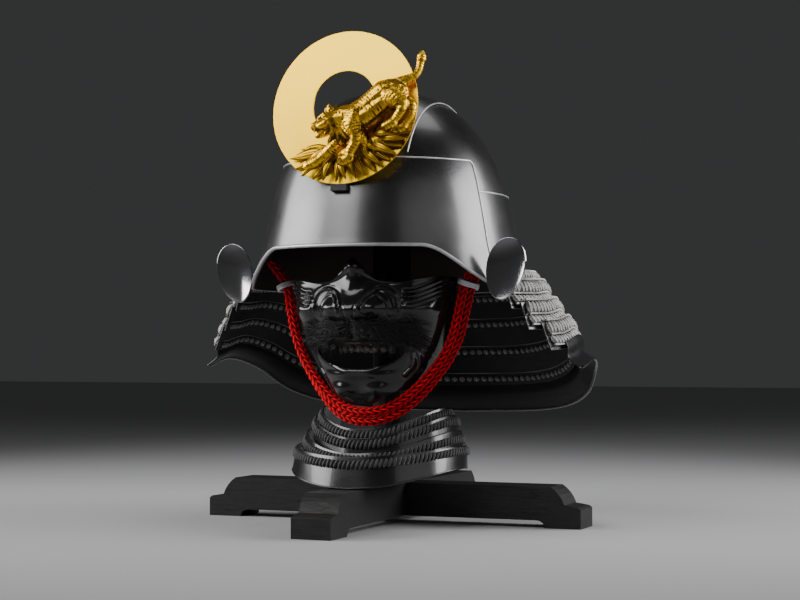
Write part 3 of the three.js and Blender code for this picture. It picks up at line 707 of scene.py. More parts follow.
# ---- chin cord ------------------------------------------------------------------------------------
# The doubled cord's middle line from inside the bowl's left side to the chin; the right side mirrors it.
CORD_LINE = [
    (0.1140, -0.050, 0.2580),
    (0.1040, -0.049, 0.2460),
    (0.0960, -0.048, 0.2330),
    (0.0910, -0.050, 0.2110),
    (0.0855, -0.051, 0.1870),
    (0.0770, -0.053, 0.1660),
    (0.0660, -0.057, 0.1490),
    (0.0520, -0.062, 0.1320),
    (0.0360, -0.068, 0.1175),
    (0.0180, -0.073, 0.1085),
    (0.0000, -0.075, 0.1060),
]
PLAIT = Sizes(columns=6, pitch=6.8 * MM, slant=1.1, low=2.6 * MM, high=5.0 * MM)


def strand_line(way):
    """One strand of the doubled cord: way +1 lies in front and above, -1 behind and below."""
    beside, above = Vector((-0.38, -0.92, 0)), Vector((0, -0.32, 0.95))
    half = []
    for x, y, z in CORD_LINE:
        toward = beside.lerp(above, ease(-x, -0.090, -0.010)).normalized()
        half.append(Vector((x, y, z)) + toward * (CORD.radius + GAP) * way)
    return half + mirrored(reversed(half[:-1]))


def plait(around, run):
    """How high the plait stands at a turn around the cord and a run along it, from 0 to 1."""
    column = around * PLAIT.columns
    across = column % 1
    way = 1 if int(column) % 2 else -1
    stitch = (run / PLAIT.pitch + way * PLAIT.slant * (across - 0.5)) % 1
    crown = sqrt(max(0, 1 - (2 * across - 1) ** 2))
    return crown ** 0.75 * sin(pi * stitch) ** 0.7


def chin_cord(name, way):
    line = even_path(smooth_path(strand_line(way)), 0.55 * MM)
    frames = frames_along(line)
    length = path_length(line)
    last = len(line) - 1

    def place(u, v):
        at = round(v * last)
        side, up = frames[at]
        height = plait(u % 1, v * length)
        reach = mix(PLAIT.low, PLAIT.high, height)
        turn = 2 * pi * u
        return line[at] + (side * cos(turn) + up * sin(turn)) * reach

    bm = fine_grid(48, last, place, spans=(2 * pi * CORD.radius, length), ring=True)
    crown = bm.verts.layers.float.new("crown")
    for vert in bm.verts:
        vert[crown] = 0
    for face in bm.faces:
        for loop in face.loops:
            u, run = loop[bm.loops.layers.uv.active].uv
            loop.vert[crown] = plait(u / (2 * pi * CORD.radius) % 1, run)
    close_holes(bm)
    bmesh.ops.recalc_face_normals(bm, faces=bm.faces)
    made = piece(bm, name, FINISH.red_cord, "red_cord", [name])
    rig.cord(made, exit=line[0], length=CORD.length, diameter=2 * CORD.radius, far_end="object",
            stiffness="limp", lay="hanging", path=line[::8] + [line[-1]])


def binding(name, way):
    """Silk wound three times round both strands."""
    turns, steps = 3, 48
    lean = Matrix.Rotation(radians(way * BINDING.lean), 3, "Y")
    middle = Vector((way * BINDING.x, BINDING.y, BINDING.z))
    line = []
    for i in range(turns * steps + 1):
        turn = 2 * pi * i / steps
        rise = (i / (turns * steps) - 0.5) * (BINDING.high - 2 * MM)
        place = Vector((BINDING.half_wide * cos(turn), BINDING.half_deep * sin(turn), rise))
        line.append(middle + lean @ place)
    rods([line], name, FINISH.white_silk, "white_silk", 1.15 * MM, 8, replaces=[name])


def chin_cords():
    chin_cord("chin_cord_front", 1)
    chin_cord("chin_cord_back", -1)
    binding("cord_binding_left", 1)
    binding("cord_binding_right", -1)


# ---- bowl -----------------------------------------------------------------------------------------
def brim_height(bearing):
    return mix(BRIM.front, BRIM.side, ease(abs(bearing), BRIM.start, BRIM.stop))


def bowl_point(bearing, z, rise=0.0):
    """The bowl's outer face, raised by `rise`, at a bearing in degrees from the face and a height."""
    up = z - BOWL.rim
    t = min(max(up / (BOWL.apex + rise - BOWL.rim), 0), 1)
    rounded = (1 - t ** BOWL.crown) ** (1 / BOWL.round)
    flare = 1.1 * MM * max(0, 1 - up / (14 * MM)) ** 1.2
    half_width = (BOWL.half_width - BOWL.taper * up + flare + rise) * rounded
    half_length = (BOWL.half_length - BOWL.taper * up + flare + rise) * rounded
    turn = radians(bearing)
    return Vector((half_width * sin(turn), BOWL.centre_y - half_length * cos(turn), z))


def dome_point(bearing, v, rise, low):
    """A place on the dome: v runs evenly from the lower edge (0) over the shoulder to the apex (1)."""
    rows_below = 0.62
    span = BOWL.apex + rise - BOWL.rim
    if v < rows_below:
        return bowl_point(bearing, mix(low, BOWL.rim + BOWL.shoulder * span, v / rows_below), rise)
    widest = (1 - BOWL.shoulder ** BOWL.crown) ** (1 / BOWL.round)
    rounded = widest * (1 - (v - rows_below) / (1 - rows_below))
    t = (1 - rounded ** BOWL.round) ** (1 / BOWL.crown)
    return bowl_point(bearing, BOWL.rim + t * span, rise)


def dome(rise, low=brim_height, across=160, along=44):
    def place(u, v):
        bearing = 360 * u - 180
        return dome_point(bearing, v, rise, low(bearing))
    return fine_grid(across, along, place, ring=True)


def keep(bm, point, inward):
    """Cuts the mesh with a plane and keeps the side that `inward` points to."""
    geometry = [*bm.verts, *bm.edges, *bm.faces]
    bmesh.ops.bisect_plane(bm, geom=geometry, dist=1e-7, plane_co=point, plane_no=inward, clear_inner=True)


def side_normal(bearing):
    """The direction across the plane that stands at a bearing, towards higher bearings."""
    turn = radians(bearing)
    return Vector((cos(turn), sin(turn), 0))


def bearing_of(place):
    return degrees(atan2(place.x, BOWL.centre_y - place.y))


def drop(bm, test):
    """Deletes the faces whose middle passes a test."""
    faces = [face for face in bm.faces if test(face.calc_center_median())]
    bmesh.ops.delete(bm, geom=faces, context="FACES")


def plate(bm, name):
    walled(bm, name, FINISH.bowl, "bowl_lacquer", BOWL.wall, 0.7 * MM, 3, FINISH.bowl_inside)


def brow_seam():
    """The brow plate's edge: up one side, across the front and down the other."""
    end, top, rise, steps = radians(PLATES.brow_end), PLATES.brow_top, PLATES.brow_rise, 40

    def edge(z):
        wide = bowl_point(90, z, rise).x
        deep = BOWL.centre_y - bowl_point(0, z, rise).y
        return bowl_point(degrees(atan2(deep * sin(end), wide * cos(end))), z, rise)

    low = brim_height(PLATES.brow_end) + 2 * MM
    side = [edge(mix(low, top - 3 * MM, i / steps)) for i in range(steps + 1)]
    start = round(PLATES.brow_end)
    across = [bowl_point(bearing, top, rise) for bearing in range(start, -start - 1, -2)]
    return side + across + mirrored(reversed(side))


def strip_seams():
    """The crown strip's two edges, from the brow over the apex and down the back."""
    rise, half = PLATES.strip_rise - SEAM.sunk, PLATES.strip_half

    def edge(bearing):
        low, high = PLATES.rear_top, BOWL.apex
        for _ in range(40):
            middle = (low + high) / 2
            wide = bowl_point(90, middle, rise).x * abs(sin(radians(bearing))) > half
            low, high = (middle, high) if wide else (low, middle)
        return bowl_point(bearing, low, rise)

    line = [edge(bearing) for bearing in range(20, 162, 2)]
    line = [p for p in line if p.z > (PLATES.brow_top if p.y < BOWL.centre_y else PLATES.rear_top) + MM]
    return line, mirrored(line)


def rear_seam():
    start, rise = round(PLATES.brow_end), PLATES.rear_rise - SEAM.sunk
    return [bowl_point(bearing, PLATES.rear_top, rise) for bearing in range(start, 361 - start, 2)]


def bowl():
    """Overlapping plates: each runs a little way under its neighbour, whose edge stands proud of it."""
    centre = Vector((0, BOWL.centre_y, 0))
    strip, under = PLATES.strip_half, PLATES.under
    tuck = degrees(under / BOWL.half_width)

    brow = dome(PLATES.brow_rise, across=320)
    keep(brow, Vector((0, 0, PLATES.brow_top)), Vector((0, 0, -1)))
    keep(brow, centre, side_normal(-PLATES.brow_end))
    keep(brow, centre, -side_normal(PLATES.brow_end))
    plate(brow, "bowl_brow_plate")

    crown = dome(PLATES.strip_rise, across=240, along=90)
    keep(crown, Vector((strip, 0, 0)), Vector((-1, 0, 0)))
    keep(crown, Vector((-strip, 0, 0)), Vector((1, 0, 0)))
    keep(crown, Vector((0, 0, PLATES.rear_top - under)), Vector((0, 0, 1)))
    drop(crown, lambda p: p.y < 0 and p.z < PLATES.brow_top - under)
    plate(crown, "bowl_crown_strip")

    rear = dome(PLATES.rear_rise, across=320)
    keep(rear, Vector((0, 0, PLATES.rear_top)), Vector((0, 0, -1)))
    drop(rear, lambda p: abs(bearing_of(p)) < PLATES.brow_end - tuck)
    plate(rear, "bowl_rear_band")

    for name, way in (("bowl_side_plate_left", 1), ("bowl_side_plate_right", -1)):
        side = dome(0, across=240, along=60)
        keep(side, Vector((way * (strip - under), 0, 0)), Vector((way, 0, 0)))
        keep(side, Vector((0, 0, PLATES.rear_top - under)), Vector((0, 0, 1)))
        drop(side, lambda p: p.z < PLATES.brow_top - under and abs(bearing_of(p)) < PLATES.brow_end - tuck)
        plate(side, name)

    seams = [brow_seam(), *strip_seams(), rear_seam()]
    # The seams and the rolled rim take the light edge finish: a painted highlight line.
    rods(seams, "bowl_plate_edges", FINISH.edge, "bowl_lacquer", SEAM.radius, 8)
    rim = [bowl_point(bearing, brim_height(bearing) + SEAM.rim_up, PLATES.rear_rise)
           for bearing in range(-180, 180, 2)]
    rods([rim], "bowl_rolled_rim", FINISH.edge, "bowl_lacquer", SEAM.rim_radius, 10, closed=True)


def lining():
    inner = dome(-BOWL.wall - LINING.gap, low=lambda bearing: LINING.low, across=96, along=28)
    walled(inner, "bowl_lining", FINISH.lining, "lining_cloth", LINING.wall, 0.6 * MM)


# ---- turn-backs beside the brow -------------------------------------------------------------------
def turn_back(name, way):
    """An oval plate, dished towards the front, with softened edges and a tongue to the bowl."""
    lean = Matrix.Rotation(radians(way * FLAP.lean), 3, "Y")
    middle = Vector((way * FLAP.x, FLAP.y, FLAP.z))

    def place(u, v):
        ring = 1 - v
        turn = way * 2 * pi * u
        across = FLAP.half_wide * (1 + 0.1 * sin(turn)) * ring
        dish = FLAP.dish * (1 - ring ** 2)
        return middle + lean @ Vector((across * cos(turn), dish, FLAP.half_high * ring * sin(turn)))

    bm = fine_grid(72, 20, place, ring=True)
    face_front(bm)
    walled(bm, name, FINISH.turn_back, "turn_back_metal", FLAP.thick, 0.6 * MM, 3)
    tongue = bmesh.new()
    sized = Matrix.Diagonal((7 * MM, 5 * MM, 12 * MM, 1))
    bmesh.ops.create_cube(tongue, size=1, matrix=sized)
    for vert in tongue.verts:
        vert.co = middle + lean @ (vert.co + Vector((-way * 4.5 * MM, 6.6 * MM, -10 * MM)))
    soften(piece(tongue, name + "_tongue", FINISH.iron, "black_iron"), 0.8 * MM)


# ---- neck guard -----------------------------------------------------------------------------------
# Height of the neck guard's lower edge by bearing: arched over the shoulders and low at the nape.
NECK_EDGE = ((50, 0.150), (84, 0.153), (97, 0.161), (110, 0.151), (122, 0.128), (135, 0.114), (152, 0.106),
             (180, 0.103))
LAMES = (
    Sizes(name="1", start=0.05, stop=0.2, end=70),
    Sizes(name="2", start=0.2, stop=0.4, end=68),
    Sizes(name="3", start=0.4, stop=0.6, end=71),
    Sizes(name="4", start=0.6, stop=0.8, end=76),
    Sizes(name="5", start=0.8, stop=1.0, end=83),
)
STITCH = Sizes(pitch=6.4 * MM, start=0.007, out=NECK.wall + 2.6 * MM, cross=(0.045, 0.525, 0.885))
# The outer lacing's rows: where on the lame, half height as a part of the lame, thickness and lean.
STITCH_ROWS = ((0.29, 0.235, 3.6 * MM, 0.3), (0.71, 0.165, 3.3 * MM, -0.35))


def neck_edge(bearing):
    return between(NECK_EDGE, abs((bearing + 180) % 360 - 180))[0]


def neck_point(bearing, slope):
    """The mean surface of the neck guard, from the bowl (slope 0) to its lower edge (slope 1)."""
    top = bowl_point(bearing, NECK.top, 2.5 * MM)
    turn = radians(bearing)
    low = Vector((NECK.half_width * sin(turn), -NECK.half_length * cos(turn), neck_edge(bearing)))
    out = NECK.bulge * sin(pi * min(slope, 1))
    return top.lerp(low, slope) + Vector((sin(turn), -cos(turn), 0)) * out


class Skin:
    """A lame's skin, laid on raw(u, v): u runs along the lame, and v from its top edge down."""

    def sides(self, u, v):
        """Directions along, down and out of the skin."""
        d = 1e-3
        along = (self.raw(u + d, v) - self.raw(u - d, v)).normalized()
        down = (self.raw(u, v + d) - self.raw(u, v - d)).normalized()
        return along, down, along.cross(down).normalized()

    def shift(self, v):
        """How far the whole skin stands out from raw(u, v)."""
        return 0

    def at(self, u, v, out=0.0):
        return self.raw(u, v) + self.sides(u, v)[2] * (out + self.shift(v))

    def line(self, v, out, margin, steps):
        """Places along the lame, with a margin at either end."""
        return [self.at(mix(margin, 1 - margin, i / steps), v, out) for i in range(steps + 1)]

    def length(self, v):
        return path_length(self.line(v, 0, 0, self.steps))


class NeckLame(Skin):
    """One lame of the neck guard: u runs round the back from the right end to the left."""

    steps = 90

    def __init__(self, row, sizes):
        self.sizes = sizes
        self.start = sizes.start - (LAP.over if row else 0)
        self.lead = LAP.shift if row else 0
        self.last = row == len(LAMES) - 1

    def raw(self, u, v):
        end = self.sizes.end
        return neck_point(mix(-end, end - 360, u), mix(self.start, self.sizes.stop, v))

    def shift(self, v):
        if self.last:
            return mix(self.lead, 0, v) - LAP.flange * sin(pi * v) ** 1.5 * ease(v, 0.1, 0.5)
        return mix(self.lead, -LAP.shift, v)


def lacing_row(bm, lame, v, half_high, out, thick, pitch=STITCH.pitch, start=0.0, lean=0.25, fill=0.46):
    """A row of upright cord loops on a lame, side by side, each a little aslant."""
    count = round(lame.length(v) * (1 - 2 * start) / pitch)
    for i in range(count):
        u = mix(start, 1 - start, (i + 0.5) / count)
        along, down, up = lame.sides(u, v)
        slant = (down + along * (lean + 0.25 * noise.noise(Vector((i * 1.3, v * 5, 2))))).normalized()
        reach = half_high * (1 + 0.06 * noise.noise(Vector((i * 0.7, v * 9, half_high * 900))))
        lump(bm, lame.at(u, v, out), along * pitch * fill, slant * reach, up * thick)


def neck_lacing(lame, height):
    """Outer lacing in tall and short rows under thin cross cords, and the stitches on the inner face."""
    name = "neck_guard_lacing_" + lame.sizes.name
    bm = lump_mesh()
    for v, part, thick, lean in STITCH_ROWS:
        lacing_row(bm, lame, v, height * part, STITCH.out, thick, start=STITCH.start, lean=lean)
    piece(bm, name, FINISH.grey_lace, "grey_lacing", [name])
    cross = [lame.line(v, STITCH.out + 0.9 * MM, STITCH.start, 150) for v in STITCH.cross]
    rods(cross, name + "_cross", FINISH.grey_lace, "grey_lacing", 1.0 * MM, 6)
    # The inner stitches take the shaded copy of the grey lacing: painted shade.
    inner = lump_mesh()
    lacing_row(inner, lame, 0.82, 3.0 * MM, -0.6 * MM, 1.6 * MM, pitch=9 * MM, start=0.02, lean=0, fill=0.36)
    piece(inner, name + "_inside", FINISH.inner_lace, "grey_lacing")
    thread = lame.line(0.66, -0.2 * MM, 0.02, 120)
    rods([thread], name + "_inner_thread", FINISH.inner_lace, "grey_lacing", 0.5 * MM, 6)


def neck_guard():
    for row, sizes in enumerate(LAMES):
        lame = NeckLame(row, sizes)
        name = "neck_guard_lame_" + sizes.name
        bm = fine_grid(200, 16, lambda u, v: lame.at(u, v, NECK.wall))
        walled(bm, name, FINISH.lame, "lame_lacquer", NECK.wall, 0.5 * MM, inner=FINISH.lame_inside)
        height = (lame.at(0.1, 1) - lame.at(0.1, 0)).length
        if row < len(LAMES) - 1:
            neck_lacing(lame, height)
        else:
            edge = lame.line(0.996, 0.5 * NECK.wall, 0.01, 200)
            rods([edge], "neck_guard_lower_bead", FINISH.lame, "lame_lacquer", 1.5 * MM, 10)


# ---- throat guard ---------------------------------------------------------------------------------
# Each lame's top and lower edge: centre y, radius, height in front, and how much the sides rise.
THROAT = (
    Sizes(name="1", top=(-22, 62, 94, 20), low=(-22, 65.5, 76, 20)),
    Sizes(name="2", top=(-22, 68.5, 85.7, 21), low=(-23, 70.8, 67, 20)),
    Sizes(name="3", top=(-26, 75.4, 72, 20), low=(-29, 77.4, 58, 12)),
    Sizes(name="4", top=(-33, 82.4, 69.6, 8), low=(-38.6, 84.5, 40, 16)),
)
THROAT_WRAP = Sizes(end=112, wall=1.2 * MM, pitch=4.3 * MM, rope=4.4 * MM)


class ThroatLame(Skin):
    """One lame of the throat guard: u runs from its left end round the front to its right."""

    steps = 60

    def __init__(self, sizes):
        self.sizes = sizes

    def raw(self, u, v):
        bearing = radians(mix(THROAT_WRAP.end, -THROAT_WRAP.end, u))
        y, radius, z, rise = (mix(a, b, v) * MM for a, b in zip(self.sizes.top, self.sizes.low))
        return Vector((radius * sin(bearing), y - radius * cos(bearing), z + rise * sin(bearing) ** 2))


def throat_guard():
    for sizes in THROAT:
        lame = ThroatLame(sizes)
        name = "throat_guard_lame_" + sizes.name
        bm = fine_grid(120, 12, lambda u, v: lame.at(u, v, THROAT_WRAP.wall))
        walled(bm, name, FINISH.lame, "lame_lacquer", THROAT_WRAP.wall, 0.4 * MM)
        height = (sizes.top[2] - sizes.low[2]) * MM
        rope = lump_mesh()
        middle = 0.1 + THROAT_WRAP.rope / height
        lacing_row(rope, lame, middle, THROAT_WRAP.rope * 1.05, THROAT_WRAP.wall + 1.2 * MM, 1.9 * MM,
                   pitch=THROAT_WRAP.pitch, start=0.008, lean=0.28)
        lacing = "throat_guard_lacing_" + sizes.name
        piece(rope, lacing, FINISH.black_lace, "black_lacing", [lacing])
        if sizes.name == "4":
            bead = lame.line(0.985, 0.6 * MM, 0, 120)
            rods([bead], "throat_guard_lower_bead", FINISH.lame, "lame_lacquer", 1.1 * MM, 8)


# ---- crest ----------------------------------------------------------------------------------------
CREST_TILT = Matrix.Rotation(radians(-CREST.lean), 3, "X")


def on_crest(across, out, up):
    """A place given in millimetres across, out from and up from the disc's centre."""
    return Vector((0, CREST.y, CREST.z)) + CREST_TILT @ Vector((across * MM, -out * MM, up * MM))


def crest_disc():
    def place(u, v):
        turn = 2 * pi * u
        hole = Vector((CREST.hole * cos(turn), 0, CREST.hole_up + CREST.hole * sin(turn)))
        rim = Vector((CREST.radius * cos(turn), 0, CREST.radius * sin(turn)))
        flat = hole.lerp(rim, v)
        return Vector((0, CREST.y, CREST.z)) + CREST_TILT @ (flat + Vector((0, -CREST.thick, 0)))

    bm = fine_grid(192, 12, place, ring=True)
    face_front(bm)
    walled(bm, "crest_disc", FINISH.disc, "crest_gold", CREST.thick, 0.45 * MM, 3)


# The tiger's limbs, in millimetres: points are across, out from the disc and up; radii follow them.
Limb = namedtuple("Limb", "what points radii")
TIGER_LIMBS = (
    Limb("back", ((56, 13, 11), (46, 14.5, 8), (36, 15.5, 0), (27, 16.5, -8), (18, 18, -15)),
          (10.5, 12.0, 11.2, 11.6, 12.5)),
    Limb("rump", ((60, 12, 8), (57, 14, 0)), (9.0, 10.0)),
    Limb("neck", ((18, 19, -15), (8, 20, -15), (-1, 21, -17)), (12.0, 11.0, 10.0)),
    Limb("skull", ((-2, 21, -17), (-6, 22, -18)), (10.0, 9.2)),
    Limb("muzzle", ((-9, 23.5, -20), (-15.5, 24.5, -23.3), (-18.5, 24.5, -24.3)), (6.6, 5.2, 4.0)),
    Limb("nose", ((-19, 25, -22.2), (-21, 25, -22.8)), (2.7, 2.0)),
    Limb("near cheek", ((-6, 28, -22), (-11.5, 28.6, -24.6)), (4.6, 3.4)),
    Limb("near brow", ((-8, 28, -13.6), (-13, 28.6, -17)), (2.6, 1.7)),
    Limb("far brow", ((-10, 19, -10.5), (-15, 20.4, -15)), (2.6, 1.6)),
    Limb("jaw", ((-5, 22, -26), (-10.5, 22.6, -30), (-15.5, 23, -32.5)), (5.5, 4.2, 2.9)),
    Limb("tongue", ((-6, 23, -26), (-13, 24, -29)), (2.0, 1.4)),
    Limb("near fang", ((-16.5, 27, -26), (-17, 27.2, -29.6)), (1.2, 0.5)),
    Limb("far fang", ((-19, 22.6, -26), (-19.4, 22.6, -29.4)), (1.2, 0.5)),
    Limb("lower fang", ((-15, 24.6, -32), (-15.4, 25, -28.6)), (1.1, 0.5)),
    Limb("near ear", ((-3, 26, -9), (-4, 27.4, -5)), (3.6, 1.6)),
    Limb("far ear", ((-9, 17, -9.5), (-11.5, 17, -5)), (3.4, 1.5)),
    Limb("tail", ((56, 12, 16), (64, 10, 20), (71, 8, 23.5), (75, 6.5, 29), (76.5, 6, 36), (77.5, 6, 43)),
          (6.4, 5.0, 4.0, 3.5, 3.6, 4.4)),
    Limb("tail tip", ((77.4, 6, 41), (77.8, 6, 46)), (4.5, 2.8)),
    Limb("near thigh", ((54, 17, 4), (61, 18.4, -1), (66, 18.4, -4)), (10.8, 8.6, 5.8)),
    Limb("near hind leg", ((66, 18, -4), (65, 19, -11), (60.5, 18, -17), (56.5, 18, -22)),
          (5.8, 4.5, 4.1, 4.6)),
    Limb("near hind paw", ((57, 18, -22), (51, 20, -25.4)), (5.2, 4.2)),
    Limb("far hind leg", ((58, 9, 2), (69, 9, -2), (71.5, 9, -10), (68.5, 9, -17), (64, 10, -24)),
          (8.0, 5.8, 4.5, 3.9, 4.2)),
    Limb("far hind paw", ((64.5, 10, -24), (59.5, 12, -27.4)), (4.8, 3.8)),
    Limb("near shoulder", ((20, 21, -14), (19, 23.5, -23), (23, 23.5, -32)), (10.2, 9.4, 7.2)),
    Limb("near fore leg", ((23, 23.5, -32), (22.5, 23, -40), (18, 22, -48), (15.5, 21, -54)),
          (7.2, 5.5, 4.9, 5.2)),
    Limb("near fore paw", ((16, 21, -54), (11, 23, -58)), (6.0, 5.0)),
    Limb("elbow fur", ((24, 20, -30), (29, 17, -38), (28.5, 14, -47)), (5.0, 3.6, 1.4)),
    Limb("far shoulder", ((10, 15, -22), (4, 15, -34)), (9.4, 7.4)),
    Limb("far fore leg", ((4, 15, -34), (-5, 14.4, -43), (-14, 13.4, -50), (-21, 13, -55)),
          (7.4, 6.0, 5.3, 5.2)),
    Limb("far fore paw", ((-21, 13, -55), (-28, 14, -58.4)), (6.0, 4.8)),
    Limb("flank", ((20, 17.5, -20), (31, 17.2, -12.5), (44, 15.8, -3)), (11.6, 10.4, 9.8)),
    Limb("belly", ((20, 14, -24), (32, 13, -17), (46, 13, -5)), (8.0, 7.0, 7.0)),
    Limb("ground", ((-6, 5, -45), (12, 7, -46), (30, 6, -40), (46, 5, -30)), (6, 9, 9, 6)),
    Limb("near stay", ((20, 4, -24), (20, 10, -24)), (9, 9)),
    Limb("far stay", ((52, 4, 6), (52, 10, 6)), (7, 7)),
)
SMOOTH_LIMBS = ("skull", "muzzle", "nose", "near cheek", "jaw", "near fang", "far fang", "lower fang",
                "tongue", "ground")
CLAWS = ((12, 23, -58), (52, 20, -25.4), (60, 12, -27.4), (-27, 14, -58.4))
RUFFS = (
    Sizes(count=18, centre=(-2, 20, -18), turn=(-2.3, 1.5), start=6.0, reach=15.5, thick=3.2),
    Sizes(count=9, centre=(6, 22, -24), turn=(-2.25, -0.9), start=4.0, reach=19.0, thick=3.4),
)
STRIPE = Sizes(pitch=3.0, depth=0.42 * MM, fur=0.36 * MM)
# Eyes and mouth, painted dark as the shade in their hollows, in millimetres: across, out, up and how wide the painted
# shade reaches.
DARK_SPOTS = ((-11, 31.2, -18.8, 2.8), (-15, 20.6, -18, 2.2), (-10, 24, -27.4, 4.4), (-13, 27, -28, 3.6))


def radius_at(radii, t):
    at = t * (len(radii) - 1)
    i = min(int(at), len(radii) - 2)
    return mix(radii[i], radii[i + 1], at - i)


def add_limb(bm, points, radii):
    """Fills a limb with closely spaced balls; returns its middle line."""
    line = smooth_path([Vector(p) for p in points], 10)
    for i, place in enumerate(line):
        radius = radius_at(radii, i / (len(line) - 1))
        bmesh.ops.create_icosphere(bm, subdivisions=2, radius=radius * MM,
                                   matrix=Matrix.Translation(on_crest(*place)))
    return line


def fused(bm, name, voxel, smoothing):
    """One skin over everything in the mesh, evened out."""
    mesh = bpy.data.meshes.new(name)
    bm.to_mesh(mesh)
    bm.free()

    def settle(modifiers):
        skin = modifiers.new("skin", "REMESH")
        skin.mode = "VOXEL"
        skin.voxel_size = voxel
        even = modifiers.new("even", "SMOOTH")
        even.factor = 0.5
        even.iterations = smoothing

    made = finished(mesh, name, settle)
    bpy.data.meshes.remove(mesh)
    out = bmesh.new()
    out.from_mesh(made)
    bpy.data.meshes.remove(made)
    return out


def crest_tiger():
    """The cast tiger: fused limbs, with stripes cut across each of them and tufted fur."""
    bm = bmesh.new()
    places = []
    for limb in TIGER_LIMBS:
        line = add_limb(bm, limb.points, limb.radii)
        run = 0
        for i, place in enumerate(line):
            run += (place - line[i - 1]).length if i else 0
            places.append((on_crest(*place), run, radius_at(limb.radii, i / (len(line) - 1)), limb.what))
    for ruff in RUFFS:
        for i in range(ruff.count):
            turn = mix(*ruff.turn, i / (ruff.count - 1))
            away = Vector((cos(turn), 0.25 * (i % 3 - 1) + 0.2, sin(turn)))
            ends = [Vector(ruff.centre) + away * reach * (1 - 0.2 * (i % 2))
                    for reach in (ruff.start, ruff.reach * 0.7, ruff.reach)]
            add_limb(bm, ends, (ruff.thick, ruff.thick * 0.72, 0.6))
    for claw in CLAWS:
        for finger in (-1.6, 0, 1.6):
            root = Vector(claw) + Vector((-0.6, finger, 0))
            bend, tip = root + Vector((-2.6, 0.6, -1.2)), root + Vector((-3.8, 0.8, -3.4))
            add_limb(bm, (root, bend, tip), (2.3, 1.7, 0.5))
    skin = fused(bm, "crest_tiger", 0.58 * MM, 8)
    near = kdtree.KDTree(len(places))
    for i, (place, *_) in enumerate(places):
        near.insert(place, i)
    near.balance()
    groove = skin.verts.layers.float.new("groove")
    inward = CREST_TILT @ Vector((0, 1, 0))
    skin.normal_update()
    for vert in skin.verts:
        _, i, gap = near.find(vert.co)
        place, run, radius, what = places[i]
        where = vert.co / MM
        wander = noise.noise(where * 0.16) * 1.6
        wave = sin(2 * pi * (run / STRIPE.pitch) + wander * 2)
        stripe = max(0, wave) ** 1.8 * ease(noise.noise(where * 0.2) + 0.34, 0, 0.3)
        if what in SMOOTH_LIMBS:
            stripe *= 0.1
        tuft = Vector((where.x * 0.5 + where.z * 0.5, where.y * 0.6, (where.z - where.x) * 0.12))
        fur = noise.noise(tuft * 2.4)
        # back: how near a point lies to the disc behind it, where painted shade darkens the gold.
        back = ease(6 - (on_crest(0, 0, 0) - vert.co).dot(inward) / MM, 0, 6)
        dark = any((vert.co - on_crest(*spot[:3])).length < spot[3] * MM for spot in DARK_SPOTS)
        crease = ease(gap / MM - radius, 0.2, 1.5)
        # Painted shade: the cut stripes, the fur's troughs, the side against the disc, the creases between limbs, and
        # the eyes and mouth.
        vert[groove] = min(1, stripe * 0.9 + max(0, -fur) * 0.4 + back * 0.3 + crease * 0.8 + dark)
        vert.co += vert.normal * (fur * STRIPE.fur - stripe * STRIPE.depth * min(1, radius / 11))
    face = on_crest(0, CREST.thick / MM + GAP / MM, 0)
    keep(skin, face, -inward)
    close_holes(skin)
    piece(skin, "crest_tiger", FINISH.cast, "cast_gold", ["crest_tiger"])


# Bamboo leaves, in millimetres: root and tip across and up, and how far the leaf stands out.
LEAVES = (
    ((-12, -40), (-40, -40), 6), ((-14, -43), (-50, -49), 8), ((-16, -46), (-45, -59), 6),
    ((-18, -48), (-36, -66), 10), ((-4, -48), (-26, -69), 7), ((-6, -50), (-14, -71), 12),
    ((0, -48), (-2, -72), 8), ((2, -49), (9, -71), 13), ((8, -48), (18, -70), 8),
    ((16, -48), (27, -67), 13), ((20, -45), (37, -64), 8), ((26, -44), (44, -59), 13),
    ((28, -40), (51, -54), 7), ((32, -38), (58, -49), 12), ((34, -34), (63, -41), 7),
    ((40, -33), (67, -35), 12), ((44, -30), (71, -27), 7), ((50, -28), (74, -19), 10),
    ((34, -30), (46, -12), 6), ((42, -28), (60, -12), 8), ((26, -38), (42, -46), 15),
    ((36, -30), (56, -31), 15), ((6, -46), (4, -61), 15), ((-8, -42), (-30, -52), 13),
    ((24, -36), (34, -55), 16), ((40, -24), (62, -20), 10), ((-2, -44), (-16, -60), 14),
    ((14, -46), (16, -62), 15),
)


def leaf(root, tip, stand):
    """A pointed leaf, folded along its rib and arched, with a vein furrow either side of the rib."""
    start, end = Vector((root[0], 0, root[1])), Vector((tip[0], 0, tip[1]))
    length = (end - start).length
    side = Vector((-(end - start).z, 0, (end - start).x)).normalized()

    def place(u, v):
        width = 0.155 * length * sin(pi * min(1, v * 0.97 + 0.03) ** 0.75) ** 0.9 + 0.05
        across = 2 * u - 1
        flat = start.lerp(end, v) + side * across * width
        vein = 0.4 * abs(sin(4 * pi * across))
        out = stand * (0.45 + 0.55 * sin(pi * (0.15 + 0.75 * v))) + 1.3 * (1 - abs(across)) - vein
        return on_crest(flat.x, max(2.4, out), flat.z)

    return fine_grid(12, 18, place)


def crest_leaves():
    bm = bmesh.new()
    for row in LEAVES:
        one = leaf(*row)
        # Painted shade in each leaf's vein furrows; the colour is also darker towards the edges and a little darker
        # all over.
        groove = one.verts.layers.float.new("groove")
        uv = one.loops.layers.uv.active
        for face in one.faces:
            for loop in face.loops:
                across = abs(2 * loop[uv].uv.x - 1)
                loop.vert[groove] = min(1, 0.85 * abs(sin(4 * pi * across)) ** 4 + 0.6 * across ** 6 + 0.12)
        mesh = bpy.data.meshes.new("leaf")
        one.to_mesh(mesh)
        one.free()
        bm.from_mesh(mesh)
        bpy.data.meshes.remove(mesh)
    thicken(piece(bm, "crest_bamboo_leaves", FINISH.cast, "cast_gold"), 0.7 * MM, offset=0)


